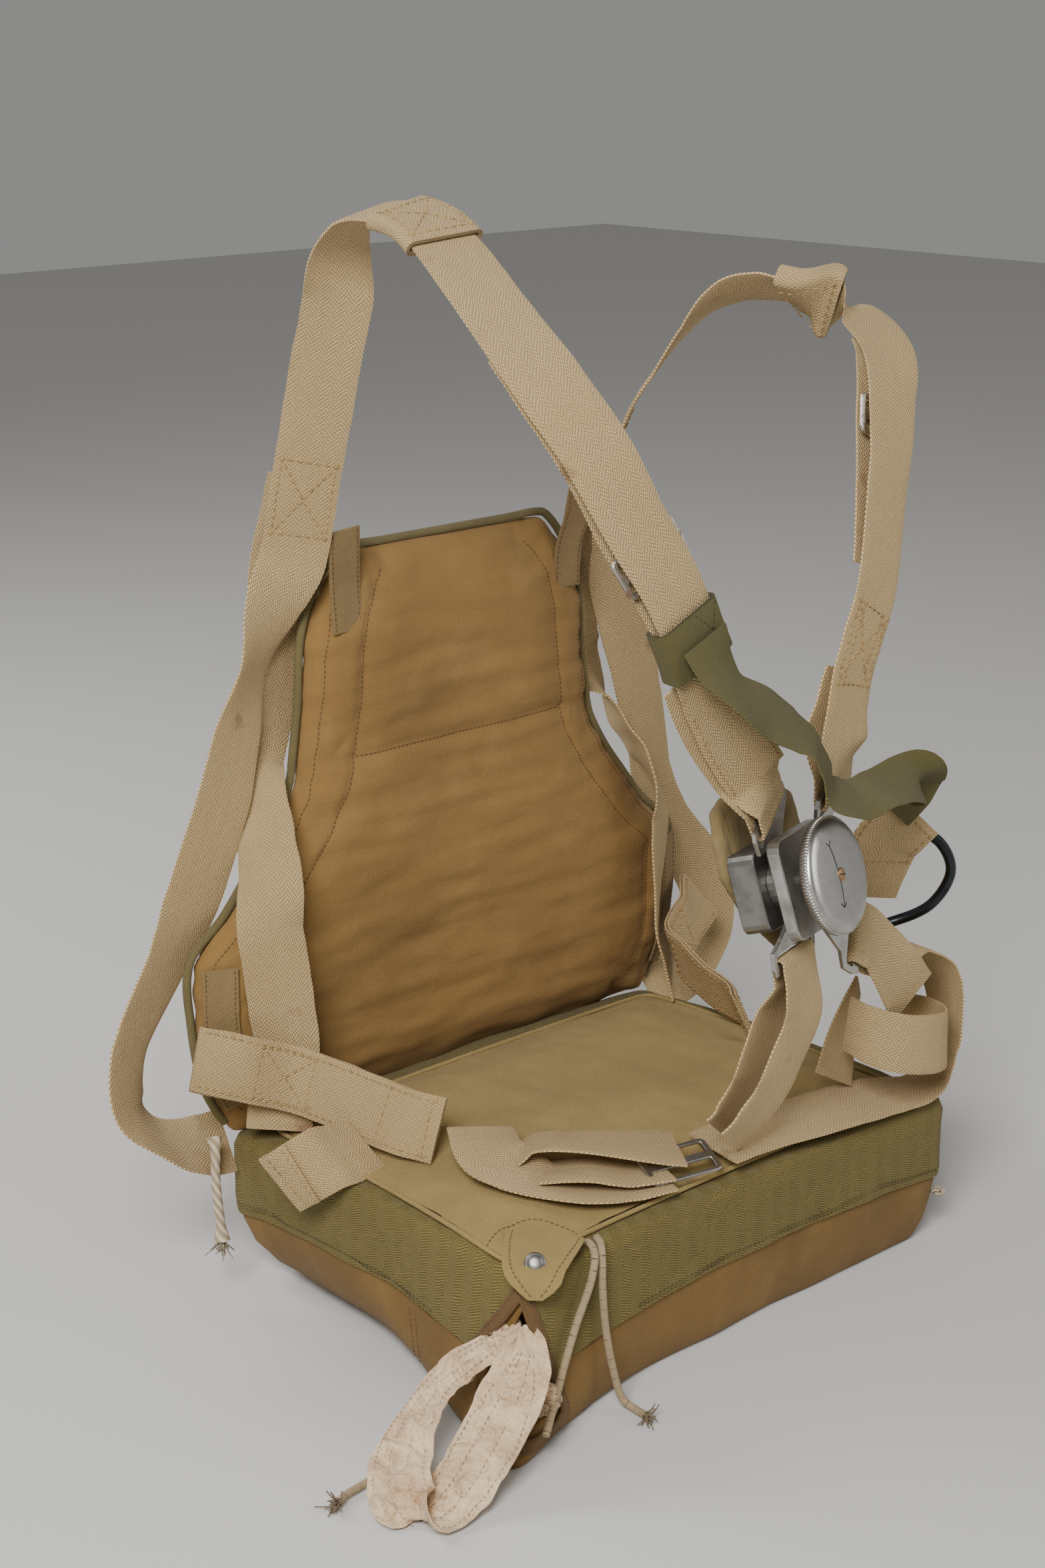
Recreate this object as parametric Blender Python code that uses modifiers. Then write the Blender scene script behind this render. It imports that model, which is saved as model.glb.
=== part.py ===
"""Seat parachute pack with its back pad, harness and quick-release lock.

The pack lies flat on the floor and the harness keeps the shape of the body that wore it. The
wearer faces -Y with their right side at -X. The origin is the middle of the pack's flat underside.
Sizes and places are in millimetres here, and every mesh is written in metres.
"""
import math

import bmesh
import bpy
import numpy as np
from mathutils import Matrix, Vector

MM = 0.001
TINY = 1e-9

# Driving sizes of the pack
PACK_HALF_X = 205.0
PACK_HALF_Y = 152.0
RIM_CORNER_Z = 104.0
RIM_CROWN = 7.0
TOP_Z = 110.5
BAND_THICK = 1.6
GAP = 0.6

# Harness webbing
WEBBING = 45.0
WEB_THICK = 2.5
SEWN_THICK = 4.6
OLIVE_WIDTH = 38.0
OLIVE_THICK = 1.6

# Quick-release lock: front of the turning disc, and the way it faces
DISC_FACE = Vector((39.0, -185.0, 322.0))
LOCK_OUT = Vector((0.25, -0.92, 0.30)).normalized()
DISC_RADIUS = 39.0
DISC_THICK = 10.0
PLATE_HALF = 33.0
PLATE_THICK = 9.0
BASE_HALF = 26.0
BASE_THICK = 20.0
PLATE_DEPTH = 22.0
BASE_DEPTH = 46.0
SPINDLE_RADIUS = 6.0
BOSS_RADIUS = 17.1
PRESS_TRAVEL = 4.0

# Webbing slides
SLIDE_HALF_X = 26.5
SLIDE_HALF_Y = 13.5
SLIDE_THICK = 2.6
SLIDE_LIFT = 4.2

# Cords
ELASTIC_DIAMETER = 5.0
TIE_DIAMETER = 6.5
PIPING_DIAMETER = 6.0

COLOURS = {
    "canvas_brown": ((0.205, 0.115, 0.042), 0.92, 0.0),
    "band_olive": ((0.200, 0.155, 0.060), 0.92, 0.0),
    "canvas_olive": ((0.330, 0.255, 0.125), 0.92, 0.0),
    "binding_tan": ((0.330, 0.215, 0.095), 0.90, 0.0),
    "piping_olive": ((0.215, 0.180, 0.085), 0.90, 0.0),
    "pad_brown": ((0.270, 0.165, 0.065), 0.90, 0.0),
    "webbing": ((0.520, 0.400, 0.230), 0.88, 0.0),
    "webbing_olive": ((0.120, 0.105, 0.030), 0.88, 0.0),
    "silk": ((0.780, 0.690, 0.580), 0.55, 0.0),
    "cord_cream": ((0.560, 0.460, 0.310), 0.85, 0.0),
    "cord_white": ((0.680, 0.600, 0.460), 0.88, 0.0),
    "steel": ((0.560, 0.550, 0.520), 0.32, 1.0),
    "dark_steel": ((0.060, 0.062, 0.068), 0.45, 1.0),
}

PARTS = None


def clear_scene():
    """Remove whatever the file opened with and make the two collections."""
    global PARTS
    for item in list(bpy.data.objects):
        bpy.data.objects.remove(item, do_unlink=True)
    PARTS = bpy.data.collections.new("packed_parachute")
    bpy.context.scene.collection.children.link(PARTS)
    cutters = bpy.data.collections.new("cutters")
    bpy.context.scene.collection.children.link(cutters)
    return cutters


def material(kind):
    """Principled material of one finish, made once."""
    if kind in bpy.data.materials:
        return bpy.data.materials[kind]
    colour, roughness, metallic = COLOURS[kind]
    finish = bpy.data.materials.new(kind)
    finish.use_nodes = True
    shader = finish.node_tree.nodes["Principled BSDF"]
    shader.inputs["Base Color"].default_value = (*colour, 1.0)
    shader.inputs["Roughness"].default_value = roughness
    shader.inputs["Metallic"].default_value = metallic
    finish.diffuse_color = (*colour, 1.0)
    return finish


def mesh_object(name, verts, faces, kind, collection=None):
    """Object in metres from points in millimetres, with its faces pointing outwards."""
    mesh = bpy.data.meshes.new(name)
    mesh.from_pydata([tuple(c * MM for c in v) for v in verts], [], faces)
    shape = bmesh.new()
    shape.from_mesh(mesh)
    bmesh.ops.recalc_face_normals(shape, faces=shape.faces)
    shape.to_mesh(mesh)
    shape.free()
    piece = bpy.data.objects.new(name, mesh)
    piece.data.materials.append(material(kind))
    (collection or PARTS).objects.link(piece)
    return piece


def solidify(piece, thickness, offset=0.0):
    """Give an open surface its thickness; offset 0 keeps it in the middle."""
    wall = piece.modifiers.new("thickness", "SOLIDIFY")
    wall.thickness = thickness * MM
    wall.offset = offset
    return piece


def curve_through(points, per_span=3, closed=False):
    """Smooth curve through the points, with per_span steps between neighbours."""
    points = np.asarray(points, float)
    count = len(points)
    out = []
    for i in range(count if closed else count - 1):
        if closed:
            p0, p1, p2, p3 = (points[(i + k) % count] for k in (-1, 0, 1, 2))
        else:
            p1, p2 = points[i], points[i + 1]
            p0 = points[i - 1] if i > 0 else 2 * p1 - p2
            p3 = points[i + 2] if i + 2 < count else 2 * p2 - p1
        chord = np.linalg.norm(p2 - p1)
        m1 = (p2 - p0) * chord / (np.linalg.norm(p1 - p0) + chord + TINY)
        m2 = (p3 - p1) * chord / (np.linalg.norm(p3 - p2) + chord + TINY)
        for k in range(per_span):
            t = k / per_span
            out.append((2 * t**3 - 3 * t**2 + 1) * p1 + (t**3 - 2 * t**2 + t) * m1
                       + (3 * t**2 - 2 * t**3) * p2 + (t**3 - t**2) * m2)
    if not closed:
        out.append(points[-1])
    return np.array(out)


def heading(turn, tilt):
    """Unit vector turned from +X towards +Y and tilted up, in degrees."""
    a, b = math.radians(turn), math.radians(tilt)
    return np.array([math.cos(a) * math.cos(b), math.sin(a) * math.cos(b), math.sin(b)])


def webbing_frames(stations, per_span=3, closed=False):
    """Middle line, direction across and face direction along webbing.

    A station is x, y, z of the middle of the webbing, then the turn and tilt of its width.
    """
    middle = curve_through([s[:3] for s in stations], per_span, closed)
    across = curve_through([heading(s[3], s[4]) for s in stations], per_span, closed)
    if closed:
        run = np.roll(middle, -1, axis=0) - np.roll(middle, 1, axis=0)
    else:
        run = np.gradient(middle, axis=0)
    run /= np.linalg.norm(run, axis=1, keepdims=True)
    across -= (across * run).sum(1, keepdims=True) * run
    across /= np.linalg.norm(across, axis=1, keepdims=True)
    return middle, across, np.cross(run, across)


def spread(value, count):
    """A number or a short list of numbers as one column of count numbers."""
    values = np.atleast_1d(np.asarray(value, float))
    return np.interp(np.linspace(0, 1, count), np.linspace(0, 1, len(values)), values).reshape(-1, 1)


def ribbon(name, frames, width, thickness, kind, closed=False, lift=0.0):
    """Flat webbing along its frames; lift moves it off the middle line along its face.

    width and lift are one number or a short list spread evenly along the webbing.
    """
    middle, across, face = frames
    count = len(middle)
    middle = middle + face * spread(lift, count)
    half = across * spread(width, count) / 2
    left, right = middle - half, middle + half
    verts = [v for pair in zip(left, right) for v in pair]
    faces = [(2 * i, 2 * i + 1, (2 * i + 3) % (2 * count), (2 * i + 2) % (2 * count))
             for i in range(count if closed else count - 1)]
    return solidify(mesh_object(name, verts, faces, kind), thickness)


def webbing(name, stations, kind="webbing", width=WEBBING, thickness=WEB_THICK, per_span=3, lift=0.0):
    return ribbon(name, webbing_frames(stations, per_span), width, thickness, kind, lift=lift)


def mirrored(stations):
    """The same stations on the wearer's other side."""
    return [(-x, y, z, -turn, -tilt) for x, y, z, turn, tilt in stations]


def stretch(frames, centre, length, steps=3):
    """The frames of one stretch of webbing, evenly spaced about the place nearest a point."""
    middle = frames[0]
    along = np.concatenate([[0.0], np.cumsum(np.linalg.norm(np.diff(middle, axis=0), axis=1))])
    here = along[np.argmin(np.linalg.norm(middle - np.array(centre), axis=1))]
    spots = np.linspace(here - length / 2, here + length / 2, steps + 1)
    return [np.column_stack([np.interp(spots, along, part[:, c]) for c in range(3)]) for part in frames]


def sleeve(name, frames, inside, thickness, kind, lift=0.0):
    """Webbing sewn into a flat sleeve round a strap; inside is its clear width and height."""
    half_w, half_h = inside[0] / 2 + thickness / 2, inside[1] / 2 + thickness / 2
    section = rounded_box(half_w, half_h, min(3.0, half_h - 0.1), 2)
    rings = [[m + a * u + f * (v + lift) for u, v in section] for m, a, f in zip(*frames)]
    return solidify(loft(name, rings, kind, cap=False), thickness)


def tube(name, points, diameter, kind, rounds=2, closed=False, smooth_by=3, radii=None):
    """Round cord, wire or handle along a smooth curve."""
    path = curve_through(points, smooth_by, closed)
    curve = bpy.data.curves.new(name, "CURVE")
    curve.dimensions = "3D"
    curve.bevel_depth = diameter * MM / 2
    curve.bevel_resolution = rounds
    curve.use_fill_caps = True
    spline = curve.splines.new("POLY")
    spline.points.add(len(path) - 1)
    spline.use_cyclic_u = closed
    for k, (point, place) in enumerate(zip(spline.points, path)):
        point.co = (*(c * MM for c in place), 1.0)
        if radii is not None:
            point.radius = np.interp(k, np.linspace(0, len(path) - 1, len(radii)), radii)
    curve.materials.append(material(kind))
    piece = bpy.data.objects.new(name, curve)
    PARTS.objects.link(piece)
    return piece


def frame_matrix(place, out, up=(0, 0, 1)):
    """Matrix in metres whose local Z is out and whose local Y is as near as it can be to up."""
    out = Vector(out).normalized()
    side = Vector(up).cross(out).normalized()
    over = out.cross(side)
    turn = Matrix((side, over, out)).transposed().to_4x4()
    return Matrix.Translation(Vector(place) * MM) @ turn


def plate(name, outlines, thickness, matrix, kind, bevel=0.0):
    """Flat metal plate from closed outlines in its own XY plane; inner outlines are holes."""
    curve = bpy.data.curves.new(name, "CURVE")
    curve.dimensions = "2D"
    curve.fill_mode = "BOTH"
    curve.extrude = (thickness / 2 - bevel) * MM
    curve.bevel_depth = bevel * MM
    curve.bevel_resolution = 0
    for outline in outlines:
        spline = curve.splines.new("POLY")
        spline.points.add(len(outline) - 1)
        spline.use_cyclic_u = True
        for point, (x, y) in zip(spline.points, outline):
            point.co = (x * MM, y * MM, 0.0, 1.0)
    curve.materials.append(material(kind))
    piece = bpy.data.objects.new(name, curve)
    piece.matrix_world = matrix
    PARTS.objects.link(piece)
    return piece


def rounded_box(half_x, half_y, corner, steps=3):
    """Outline of a rectangle with round corners, anticlockwise from the lower right."""
    out = []
    for sx, sy, start in ((1, -1, -90), (1, 1, 0), (-1, 1, 90), (-1, -1, 180)):
        for k in range(steps + 1):
            a = math.radians(start + 90 * k / steps)
            out.append((sx * (half_x - corner) + corner * math.cos(a),
                        sy * (half_y - corner) + corner * math.sin(a)))
    return out


def turned(name, profile, matrix, kind, steps=32):
    """Solid of revolution about local Z from a closed outline of radius and height, top to bottom."""
    mesh = bpy.data.meshes.new(name)
    points = [(r * MM, 0.0, h * MM) for r, h in profile]
    mesh.from_pydata(points, [(k, k + 1) for k in range(len(points) - 1)], [])
    piece = bpy.data.objects.new(name, mesh)
    piece.data.materials.append(material(kind))
    piece.matrix_world = matrix
    PARTS.objects.link(piece)
    screw = piece.modifiers.new("turn", "SCREW")
    screw.steps = steps
    screw.render_steps = steps
    screw.use_merge_vertices = True
    screw.merge_threshold = 0.00005
    return piece


def loft(name, rings, kind, cap=True, closed_ends=False):
    """Skin through rings of equal count, lowest first; cap closes the first and last."""
    count = len(rings[0])
    verts = [v for ring in rings for v in ring]
    faces = []
    rows = len(rings)
    for r in range(rows if closed_ends else rows - 1):
        for k in range(count):
            n = (k + 1) % count
            s = (r + 1) % rows
            faces.append((r * count + k, r * count + n, s * count + n, s * count + k))
    if cap:
        faces.append(tuple(reversed(range(count))))
        faces.append(tuple((rows - 1) * count + k for k in range(count)))
    return mesh_object(name, verts, faces, kind)


# Pack wall: how far the sides are drawn in at each height, the corner radius and how far
# the corner nearest the front right is pushed out by what is packed behind it.
WALL = (
    # height, drawn in, corner radius, pushed out
    (0.0, 42.0, 16.0, 66.0),
    (5.0, 29.0, 18.0, 62.0),
    (14.0, 16.0, 17.0, 50.0),
    (28.0, 7.0, 15.0, 34.0),
    (45.0, 2.0, 13.0, 20.0),
    (62.0, 0.0, 12.0, 11.0),
    (84.0, 0.0, 11.0, 5.0),
    (100.0, 1.0, 10.0, 1.0),
    (112.0, 1.0, 10.0, 0.0),
)
SIGNS = ((1, -1), (1, 1), (-1, 1), (-1, -1))
SIDE_STEPS = 7
CORNER_STEPS = 3
PUSH_REACH_X = 112.0
PUSH_REACH_Y = 72.0
PUSH_X = 0.81
PUSH_Y = 0.58

# Pointed opening in the front right corner: sideways and up, with its apex first
BODY_SLOT = ((-4.3, 87.0), (-33.0, 26.0), (15.0, 21.0))
BAND_SLOT = ((-5.7, 96.0), (-57.0, 17.0), (22.0, 13.0))
FRONT_DRAW = 0.25

# Canvas turning over the rim: how far in from the wall, and how far below the top there
RIM_TURN = ((2.5, -1.5), (8.0, 0.0), (26.0, 0.0))


def wall_columns():
    """Fixed columns round the pack: a corner and an angle, or a side and a fraction along it."""
    columns = []
    for i in range(4):
        columns += [("corner", i, 90.0 * k / (CORNER_STEPS - 1)) for k in range(CORNER_STEPS)]
        columns += [("side", i, k / SIDE_STEPS) for k in range(1, SIDE_STEPS)]
    return columns


COLUMNS = wall_columns()


def corner_point(index, angle, height, grow, inset, drawn_share):
    """Point of one round corner of the wall at a height."""
    table = np.array(WALL)
    drawn, radius = (np.interp(height, table[:, 0], table[:, c]) for c in (1, 2))
    sx, sy = SIGNS[index]
    half_x = PACK_HALF_X + grow - inset - drawn * drawn_share
    half_y = PACK_HALF_Y + grow - inset - drawn * drawn_share
    r = max(3.0, radius + grow - inset * 0.4)
    a = math.radians(-90 + 90 * index + angle)
    return np.array([sx * (half_x - r) + r * math.cos(a), sy * (half_y - r) + r * math.sin(a)])


def drawn_share(y):
    """The underside is drawn in least at the front and most at the rear."""
    rear = min(1.0, max(0.0, (y + PACK_HALF_Y) / (2 * PACK_HALF_Y)))
    return FRONT_DRAW + (1 - FRONT_DRAW) * min(1.0, rear * 1.9) ** 0.8


def wall_ring(height, grow=0.0, inset=0.0):
    """Points round the pack at a height, one number or one for each column."""
    heights = np.broadcast_to(np.asarray(height, float), (len(COLUMNS),))
    ring = []
    for (kind, i, t), z in zip(COLUMNS, heights):
        if kind == "corner":
            point = corner_point(i, t, z, grow, inset, drawn_share(SIGNS[i][1] * PACK_HALF_Y))
        else:
            j = (i + 1) % 4
            guess = PACK_HALF_Y * ((1 - t) * SIGNS[i][1] + t * SIGNS[j][1])
            share = drawn_share(guess)
            point = (corner_point(i, 90, z, grow, inset, share) * (1 - t)
                     + corner_point(j, 0, z, grow, inset, share) * t)
        push = np.interp(z, [row[0] for row in WALL], [row[3] for row in WALL])
        away = math.hypot(point[0] + PACK_HALF_X, point[1] + PACK_HALF_Y)
        out_x = push * PUSH_X * math.exp(-(away / PUSH_REACH_X) ** 2)
        out_y = push * PUSH_Y * math.exp(-(away / PUSH_REACH_Y) ** 2)
        ring.append((point[0] - out_x, point[1] - out_y, float(z)))
    return ring


def column_shares():
    """For each column: 0 at a corner to 1 in the middle of a side, and 1 at the pushed-out corner."""
    middle = np.array([0.0 if kind == "corner" else 1 - (2 * t - 1) ** 2 for kind, _, t in COLUMNS])
    near = np.array([math.exp(-(math.hypot(x + PACK_HALF_X, y + PACK_HALF_Y) / 110.0) ** 2)
                     for x, y, _ in wall_ring(62.0)])
    return middle, near


def top_height(x, y):
    """Height of the pack's top under the cushion, from its rim to its flat middle."""
    side = min(PACK_HALF_X - abs(x), PACK_HALF_Y - abs(y))
    along = y / PACK_HALF_Y if PACK_HALF_X - abs(x) < PACK_HALF_Y - abs(y) else x / PACK_HALF_X
    rim = RIM_CORNER_Z + RIM_CROWN * (1 - along * along)
    t = min(1.0, max(0.0, side / 45.0))
    return rim + (TOP_Z - rim) * t


def slot_wedge(name, outline, depth, cutters):
    """Cutter for the pointed opening in the corner; the outline is sideways and up, in mm."""
    diagonal = np.array([-1.0, -1.0, 0.0]) / math.sqrt(2)
    sideways = np.array([1.0, -1.0, 0.0]) / math.sqrt(2)
    corner = np.array([-PACK_HALF_X, -PACK_HALF_Y, 0.0])
    verts = [corner + diagonal * reach + sideways * u + np.array([0, 0, z])
             for reach in (-depth, 70.0) for u, z in outline]
    faces = [(0, 1, 2), (5, 4, 3), (0, 3, 4, 1), (1, 4, 5, 2), (2, 5, 3, 0)]
    cutter = mesh_object(name, verts, faces, "canvas_brown", cutters)
    cutter.hide_render = True
    cutter.display_type = "WIRE"
    return cutter


def triangles(piece):
    """Split every face the same way, so that the two skins of the pack stay parallel."""
    split = piece.modifiers.new("triangles", "TRIANGULATE")
    split.quad_method = "FIXED"
    return piece


def cut(piece, cutter):
    hole = piece.modifiers.new("opening", "BOOLEAN")
    hole.operation = "DIFFERENCE"
    hole.object = cutter
    return piece


def band_low():
    """Height of the band's lower edge at each column."""
    middle, near = column_shares()
    return 50.0 + 8.0 * middle - 4.0 * near


def top_ring(grow, inset, lift):
    return [(x, y, top_height(x, y) + lift) for x, y, _ in wall_ring(110.0, grow, inset)]


def pack(cutters):
    """Brown canvas pack with its olive band, which covers the upper wall and turns over the rim."""
    middle, _ = column_shares()
    rims = RIM_CORNER_Z + RIM_CROWN * middle
    low = band_low()
    half_way = (low + rims) / 2
    rings = [wall_ring(z) for z in (0.0, 5.0, 14.0, 28.0)]
    rings += [wall_ring(low), wall_ring(half_way), wall_ring(rims - 5.0)]
    rings += [top_ring(0.0, inset, lift) for inset, lift in RIM_TURN + ((50.0, 0.0),)]
    body = triangles(loft("pack_body", rings, "canvas_brown"))
    cut(body, slot_wedge("slot_cutter_body", BODY_SLOT, 47.0, cutters))

    band = [wall_ring(low, GAP), wall_ring(half_way, GAP), wall_ring(rims - 5.0, GAP)]
    band += [top_ring(GAP, inset, GAP + lift) for inset, lift in RIM_TURN + ((44.0, 0.0),)]
    sheet = solidify(triangles(loft("pack_band", band, "band_olive", cap=False)), BAND_THICK, 1.0)
    cut(sheet, slot_wedge("slot_cutter_band", BAND_SLOT, 83.0, cutters))


def cushion_outline(inset):
    """Outline of the seat cushion, its front right corner reaching the pack's corner."""
    corners = ((186.0, -142.0), (186.0, 126.0), (-188.0, 126.0), (-205.0, -138.0))
    centre = np.array([-5.0, 0.0])
    out = []
    for k, corner in enumerate(corners):
        here = np.array(corner)
        before, after = np.array(corners[k - 1]), np.array(corners[(k + 1) % 4])
        for t in (0.0, 0.5, 1.0):
            start = here + (before - here) / np.linalg.norm(before - here) * 14.0
            end = here + (after - here) / np.linalg.norm(after - here) * 14.0
            out.append((1 - t) ** 2 * start + 2 * t * (1 - t) * here + t * t * end)
        for t in (0.25, 0.5, 0.75):
            out.append(here * (1 - t) + after * t)
    return [p - (p - centre) / np.abs(p - centre).max() * inset for p in out]


def seat_cushion():
    """Thin filled seat cushion on the pack, drooping over the rim at its front right corner."""
    rows = ((60.0, 0.0), (30.0, 0.0), (12.0, 0.0), (3.0, 0.0), (0.0, 1.5), (3.0, 3.5), (16.0, 5.5),
            (50.0, 8.0), (100.0, 9.0))
    under = BAND_THICK + 2 * GAP
    rings = [[(x, y, top_height(x, y) + under + height) for x, y in cushion_outline(inset)]
             for inset, height in rows]
    loft("seat_cushion", rings, "canvas_olive")
    frames = webbing_frames(TAB, 2)
    ribbon("cushion_tab", frames, [50, 46, 42, 34, 20], 1.8, "canvas_olive")
    middle, across, face = (part[4] for part in frames)
    face = face * np.sign(face[2])
    turned("tab_snap", SNAP, frame_matrix(middle + face * 1.5, face, across), "steel", 16)


# Domed snap: radius and height
SNAP = ((0.0, 2.2), (3.5, 2.0), (6.0, 1.0), (6.4, 0.0), (0.0, 0.0))

# Cloth tab over the front right corner: x, y, z, turn, tilt
TAB = (
    (-170, -130, 118.8, -45, 0),
    (-184, -139, 117.4, -45, 0),
    (-198, -149, 113.8, -45, 0),
    (-206, -158, 107, -45, -4),
    (-210, -162, 99, -45, -4),
)


# Back pad: half width at each height
PAD_EDGE = (
    # height, half width
    (112.8, 201.5),
    (117.2, 204.5),
    (128.0, 212.0),
    (150.0, 222.0),
    (190.0, 229.0),
    (236.0, 229.0),
    (262.0, 200.0),
    (292.0, 175.0),
    (315.0, 157.0),
    (340.0, 142.0),
    (353.0, 138.0),
    (360.0, 137.0),
    (367.0, 136.0),
    (400.0, 131.0),
    (440.0, 128.0),
    (462.0, 122.0),
    (480.0, 112.0),
    (494.0, 101.0),
    (500.0, 93.0),
)
PAD_SEAM_IN = 38.0
PAD_SEAM_Z = 360.0
PAD_RIM = 8.0
PAD_THICK = 21.0
PAD_BACK_Y = 157.0


def pad_fill(from_edge, z):
    """Thickness of the filled pad: least at its edge and along its two rows of sewing."""
    swell = np.interp(from_edge, (0, 5, 18, PAD_SEAM_IN - 5, PAD_SEAM_IN, PAD_SEAM_IN + 5, 60),
                      (0.0, 0.45, 0.92, 0.85, 0.62, 0.85, 1.0))
    low, high = PAD_EDGE[0][0], PAD_EDGE[-1][0]
    swell *= np.interp(z, (low, low + 4, low + 20, high - 20, high - 6, high), (0.1, 0.6, 1.0, 1.0, 0.6, 0.1))
    swell *= np.interp(abs(z - PAD_SEAM_Z), (0, 7, 30), (0.66, 0.88, 1.0))
    return PAD_RIM + (PAD_THICK - PAD_RIM) * swell


def piping_path():
    """Line just outside the pad's edge, up the left side, over the top and down the right side."""
    half = [(w, z) for z, w in PAD_EDGE if z > PAD_EDGE[0][0]]
    outline = np.array(half + [(60.0, PAD_EDGE[-1][0]), (0.0, PAD_EDGE[-1][0])])
    run = np.gradient(outline, axis=0)
    run /= np.linalg.norm(run, axis=1, keepdims=True)
    outward = np.stack([run[:, 1], -run[:, 0]], axis=1)
    outline = outline + outward * (PIPING_DIAMETER / 2 + 0.8)
    path = [(x, PAD_BACK_Y - PAD_RIM / 2, z) for x, z in outline]
    return path + [(-x, y, z) for x, y, z in reversed(path[:-1])]


def back_pad():
    """Filled back pad, standing on the rear edge of the pack, with its piping and side bindings."""
    inward = (0, 5, 18, PAD_SEAM_IN - 5, PAD_SEAM_IN, PAD_SEAM_IN + 5, 60)
    verts, faces = [], []
    columns = 2 * len(inward) + 1
    for z, w in PAD_EDGE:
        line = [-(w - e) for e in inward] + [0.0] + [w - e for e in reversed(inward)]
        verts += [(x, PAD_BACK_Y - pad_fill(w - abs(x), z), z) for x in line]
    for r in range(len(PAD_EDGE) - 1):
        for c in range(columns - 1):
            k = r * columns + c
            faces.append((k, k + 1, k + columns + 1, k + columns))
    rim = [c for c in range(columns)]
    rim += [r * columns + columns - 1 for r in range(1, len(PAD_EDGE))]
    rim += [(len(PAD_EDGE) - 1) * columns + c for c in range(columns - 2, -1, -1)]
    rim += [r * columns for r in range(len(PAD_EDGE) - 2, 0, -1)]
    base = len(verts)
    verts += [(verts[k][0], PAD_BACK_Y, verts[k][2]) for k in rim]
    for k in range(len(rim)):
        n = (k + 1) % len(rim)
        faces.append((rim[k], base + k, base + n, rim[n]))
    faces.append(tuple(range(base, base + len(rim))))
    mesh_object("back_pad", verts, faces, "pad_brown")
    tube("back_piping", piping_path(), PIPING_DIAMETER, "piping_olive", rounds=1, smooth_by=1)
    edge = ((132, 214), (150, 222), (190, 229), (234, 229))
    strip = [(-(w - 11.0), PAD_BACK_Y - 18.7, z, -25, 0) for z, w in edge]
    webbing("side_binding_right", strip, "binding_tan", 25.0, 1.6, 1)
    webbing("side_binding_left", mirrored(strip), "binding_tan", 25.0, 1.6, 1)
    tab = [(-103, 135.7, 450, 0, 0), (-105, 135.7, 478, 0, 0), (-109, 131, 502, 0, 0), (-111, 128, 522, 0, 0)]
    webbing("pad_tab_right", tab, "binding_tan", 26.0, 1.8, 1)
    webbing("pad_tab_left", mirrored(tab), "binding_tan", 26.0, 1.8, 1)


# Webbing stations: x, y, z, turn, tilt
SLING_BACK = (
    (-209.4, 149, 103, 44, 40),
    (-230, 148, 106, 45, 33),
    (-249, 149, 112, 46, 14),
    (-267, 152, 124, 40, -8),
    (-281, 155, 142, 28, -18),
    (-285, 157, 165, 26, -15),
    (-277, 161, 190, 24, -15),
    (-260, 165, 212, 20, -15),
    (-240, 167, 238, 15, -20),
    (-223, 162, 275, -5, -10),
    (-210, 156, 315, -5, -10),
    (-198, 153, 350, 0, -10),
    (-187, 152, 390, 10, -12),
    (-172, 150, 436, 30, -15),
    (-158, 146, 475, -5, -10),
    (-144, 142, 505, -35, 0),
    (-143, 130, 550, -35, 0),
    (-142, 118, 595, -40, 0),
)
SLING_RIGHT = (
    (-142, 105, 640, -43, 0),
    (-142, 92, 680, -35, 0),
    (-148, 82, 712, 0, 0),
    (-153, 62, 732, 20, 5),
    (-153, 35, 738, 15, 10),
    (-150, 0, 733, 5, 10),
    (-152, -30, 716, 0, 15),
    (-155, -65, 690, -5, 15),
    (-145, -100, 650, -15, 20),
    (-125, -125, 605, -15, 20),
    (-105, -137, 562, -10, 15),
    (-82, -146, 522, -5, 10),
    (-66, -149, 488, 0, 10),
    (-54, -148, 464, -5, 4),
    (-40, -147, 440, -10, 0),
    (-21, -146.5, 412, -14, 0),
    (0, -146, 386, -12, 0),
)
SLING_LEFT = (
    (146, 115, 575, 40, 0),
    (150, 90, 610, 38, 0),
    (155, 60, 645, 30, -5),
    (161, 30, 666, 10, -20),
    (167, 0, 671, -25, -25),
    (174, -30, 666, -50, -25),
    (190, -56, 656, -45, -22),
    (190, -83, 636, -25, -18),
    (176, -100, 612, -5, -15),
    (155, -118, 569, 3, -15),
    (145, -124, 543, 5, -15),
    (134, -130, 503, 5, -15),
    (126, -133, 480, 5, -15),
    (111, -136, 456, 5, -15),
    (102, -137, 436, 5, -15),
    (97, -137, 412, 5, -15),
    (96, -136, 388, 0, -10),
)
BACK_STRAP = (
    (-140, 136, 558, -40, 0),
    (-141, 145, 528, -40, 0),
    (-141, 155, 503, -30, 0),
    (-140, 163, 478, -10, -5),
    (-140, 166, 440, 0, -8),
    (-142, 169, 410, 5, -8),
    (-150, 169, 386, 0, -5),
    (-163, 168, 366, -25, -5),
    (-169, 160, 350, -60, -5),
    (-172, 149, 331, -72, -6),
    (-178, 135, 312, -75, -6),
    (-184, 124, 290, -56, -6),
    (-189, 120, 262, -30, 0),
    (-187, 118, 240, -30, 3),
    (-184, 116, 205, -38, 0),
    (-182, 114, 175, -42, 0),
    (-189, 111, 150, -40, 0),
    (-196, 107, 120.4, -38, -5),
)
HIP_STRAP = (
    (-247, 131, 180, 52, 54),
    (-220, 115, 170, 23, 72),
    (-187, 100, 157, 25, 72),
    (-175, 71, 152, 25, 72),
    (-166, 41, 147, -3, 66),
    (-161, 14, 145, -18, 58),
    (-150, -6, 142.2, -25, 48),
)
HIP_LEFT_END = (150, -6, 141.4, 25, -48)
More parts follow.
